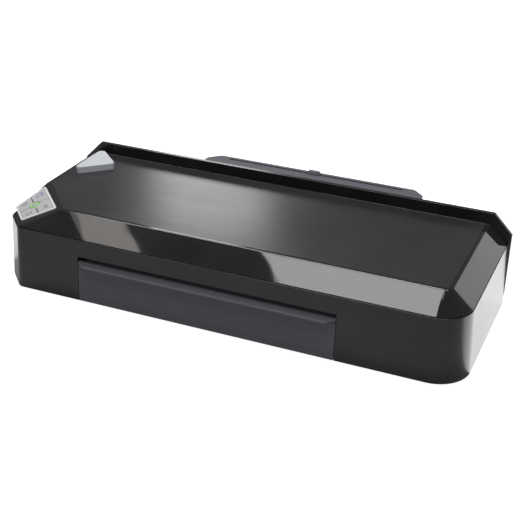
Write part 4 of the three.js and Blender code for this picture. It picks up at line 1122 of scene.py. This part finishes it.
LIGHTS = {  # place, aim and size, then colour and roll in degrees where they matter
    "left_box": ((-0.775, -0.58, 1.2), (-0.775, -0.58, 0), (0.13, 0.5), (1.0, 0.95, 0.9), 30),
    "right_box": ((-0.08, -0.6, 1.2), (-0.08, -0.6, 0), (0.42, 0.5), (0.97, 0.99, 1.0), 38),
    "rear_box": ((-0.77, 1.5, 0.76), (-0.2, 0, 0.1), (0.31, 0.38)),
    "side_box": ((0.95, 1.4, 0.4), (0.2, 0, 0.1), (0.7, 0.6)),
    "corner_box": ((0.25, -0.42, 1.2), (0.25, -0.42, 0), (0.26, 0.34)),
    "bevel_box": ((0.5, -0.12, 1.2), (0.5, -0.12, 0), (0.25, 0.3)),
    "under": ((0, 0.2, -1.0), (0, 0.05, 0), (0.6, 0.5)),
    "lit_sweep": ((0.512, 0.42, 0.001), (0.512, 0.42, 1), (0.5, 1.06)),
    "left_sweep": ((-0.51, 0.2, 0.001), (-0.51, 0.2, 1), (0.48, 0.6), (1.0, 0.97, 0.92)),
    "front_fill": ((1.1, -2.2, 1.4), (0, 0, 0.05), (0.9, 0.6)),
    "key": ((-0.42, 0.27, 1.3), (-0.42, 0.2, 0), (0.95, 0.3)),
}


def area_light(name, power, place, aim, size, colour=(1, 1, 1), roll=0.0):
    data = bpy.data.lights.new(name, "AREA")
    data.shape = "RECTANGLE"
    data.size, data.size_y = size
    data.energy = power
    data.color = colour
    lamp = bpy.data.objects.new(name, data)
    bpy.context.scene.collection.objects.link(lamp)
    turn = (Vector(aim) - Vector(place)).to_track_quat("-Z", "Y").to_matrix().to_4x4()
    spin = Matrix.Rotation(math.radians(roll), 4, "Z")
    lamp.matrix_world = Matrix.Translation(place) @ turn @ spin
    lamp.visible_camera = False


def mixed(tree, factor, a, b):
    return node(tree, "ShaderNodeMixShader", _0=factor, _1=a, _2=b).outputs[0]


class SEALER_OT_stage(SealerOperator):
    """Camera, pale floor, soft boxes and background"""

    bl_idname = "sealer.stage"
    bl_label = "Studio"

    def execute(self, context):
        studio = context.scene.sealer_studio
        self.camera(context, studio)
        self.floor(studio)
        for name, (place, aim, size, *more) in LIGHTS.items():
            area_light(name.replace("_", " "), getattr(studio, name), place, aim, size, *more)
        self.background(context, studio)
        context.scene.view_settings.view_transform = "Standard"
        return {"FINISHED"}

    def camera(self, context, studio):
        azimuth, elevation, roll = (math.radians(a) for a in CAMERA_TURN)
        ahead = Vector((-math.sin(azimuth) * math.cos(elevation),
                        math.cos(azimuth) * math.cos(elevation), -math.sin(elevation)))
        level = Vector((math.cos(azimuth), math.sin(azimuth), 0))
        above = level.cross(ahead)
        right = math.cos(roll) * level + math.sin(roll) * above
        up = -math.sin(roll) * level + math.cos(roll) * above
        data = bpy.data.cameras.new("camera")
        data.lens = studio.lens
        data.sensor_width = 36
        data.clip_start, data.clip_end = 0.05, 50
        camera = bpy.data.objects.new("camera", data)
        turn = Matrix((right, up, -ahead)).transposed().to_4x4()
        camera.matrix_world = Matrix.Translation(CAMERA_PLACE) @ turn
        context.scene.collection.objects.link(camera)
        context.scene.camera = camera

    def floor(self, studio):
        """Pale floor that glows a little for the camera and is clear from below."""
        floor = made_by("floor", lambda bm: bm.faces.new([
            bm.verts.new((p.x, p.y, 0)) for p in rectangle(
                -FLOOR_HALF, -FLOOR_HALF, FLOOR_HALF, FLOOR_HALF)]))
        material = bpy.data.materials.new("floor")
        material.use_nodes = True
        tree = material.node_tree
        shader = tree.nodes["Principled BSDF"]
        shade = blended(tree, mapped(tree, noise(tree, 3.0), 0.0, 1.0), rgba(studio.floor),
                        rgba([c * 0.985 for c in studio.floor]))
        tree.links.new(shade, shader.inputs["Base Color"])
        shader.inputs["Roughness"].default_value = 0.9
        shader.inputs["Specular IOR Level"].default_value = 0.1
        path = node(tree, "ShaderNodeLightPath").outputs
        back = node(tree, "ShaderNodeNewGeometry").outputs["Backfacing"]
        glow = node(tree, "ShaderNodeEmission", Color=(1, 1, 1, 1), Strength=0.9).outputs[0]
        clear = node(tree, "ShaderNodeBsdfTransparent").outputs[0]
        both = node(tree, "ShaderNodeAddShader", _0=shader.outputs[0], _1=glow).outputs[0]
        seen = mixed(tree, path["Is Camera Ray"], shader.outputs[0], both)
        open_way = maths(tree, "MAXIMUM", back, path["Is Shadow Ray"])
        tree.links.new(mixed(tree, open_way, seen, clear),
                       tree.nodes["Material Output"].inputs[0])
        floor.data.materials.append(material)

    def background(self, context, studio):
        """White for the camera, and a dim room for everything else."""
        world = bpy.data.worlds.new("studio")
        context.scene.world = world
        world.use_nodes = True
        tree = world.node_tree
        tree.nodes.clear()
        seen = node(tree, "ShaderNodeBackground", Color=(1, 1, 1, 1), Strength=1.0)
        room = node(tree, "ShaderNodeBackground", Color=(0.98, 0.94, 1, 1), Strength=studio.room)
        path = node(tree, "ShaderNodeLightPath").outputs
        both = mixed(tree, path["Is Camera Ray"], room.outputs[0], seen.outputs[0])
        node(tree, "ShaderNodeOutputWorld", _0=both)


# ---- Panel and run ------------------------------------------------------------------------------

STEPS = ("stage", "housing", "bezel", "inlay", "rim", "tray", "button", "controls", "inside")


class SEALER_PT_panel(bpy.types.Panel):
    """Steps of the build, in order"""

    bl_label = "Vacuum sealer"
    bl_idname = "SEALER_PT_panel"
    bl_space_type = "VIEW_3D"
    bl_region_type = "UI"
    bl_category = "Sealer"

    def draw(self, context):
        for step in STEPS:
            self.layout.operator(f"sealer.{step}")


CLASSES = (SealerShell, SealerControls, SealerFinish, SealerStudio, SEALER_OT_stage,
           SEALER_OT_housing, SEALER_OT_bezel, SEALER_OT_inlay, SEALER_OT_rim, SEALER_OT_tray,
           SEALER_OT_button, SEALER_OT_controls, SEALER_OT_inside, SEALER_PT_panel)
GROUPS = {"sealer_shell": SealerShell, "sealer_controls": SealerControls,
          "sealer_finish": SealerFinish, "sealer_studio": SealerStudio}


def register():
    for cls in CLASSES:
        bpy.utils.register_class(cls)
    for name, kind in GROUPS.items():
        setattr(bpy.types.Scene, name, PointerProperty(type=kind))


def unregister():
    for name in GROUPS:
        delattr(bpy.types.Scene, name)
    for cls in reversed(CLASSES):
        bpy.utils.unregister_class(cls)


def main():
    register()
    for step in STEPS:
        getattr(bpy.ops.sealer, step)()


if __name__ == "__main__":
    main()
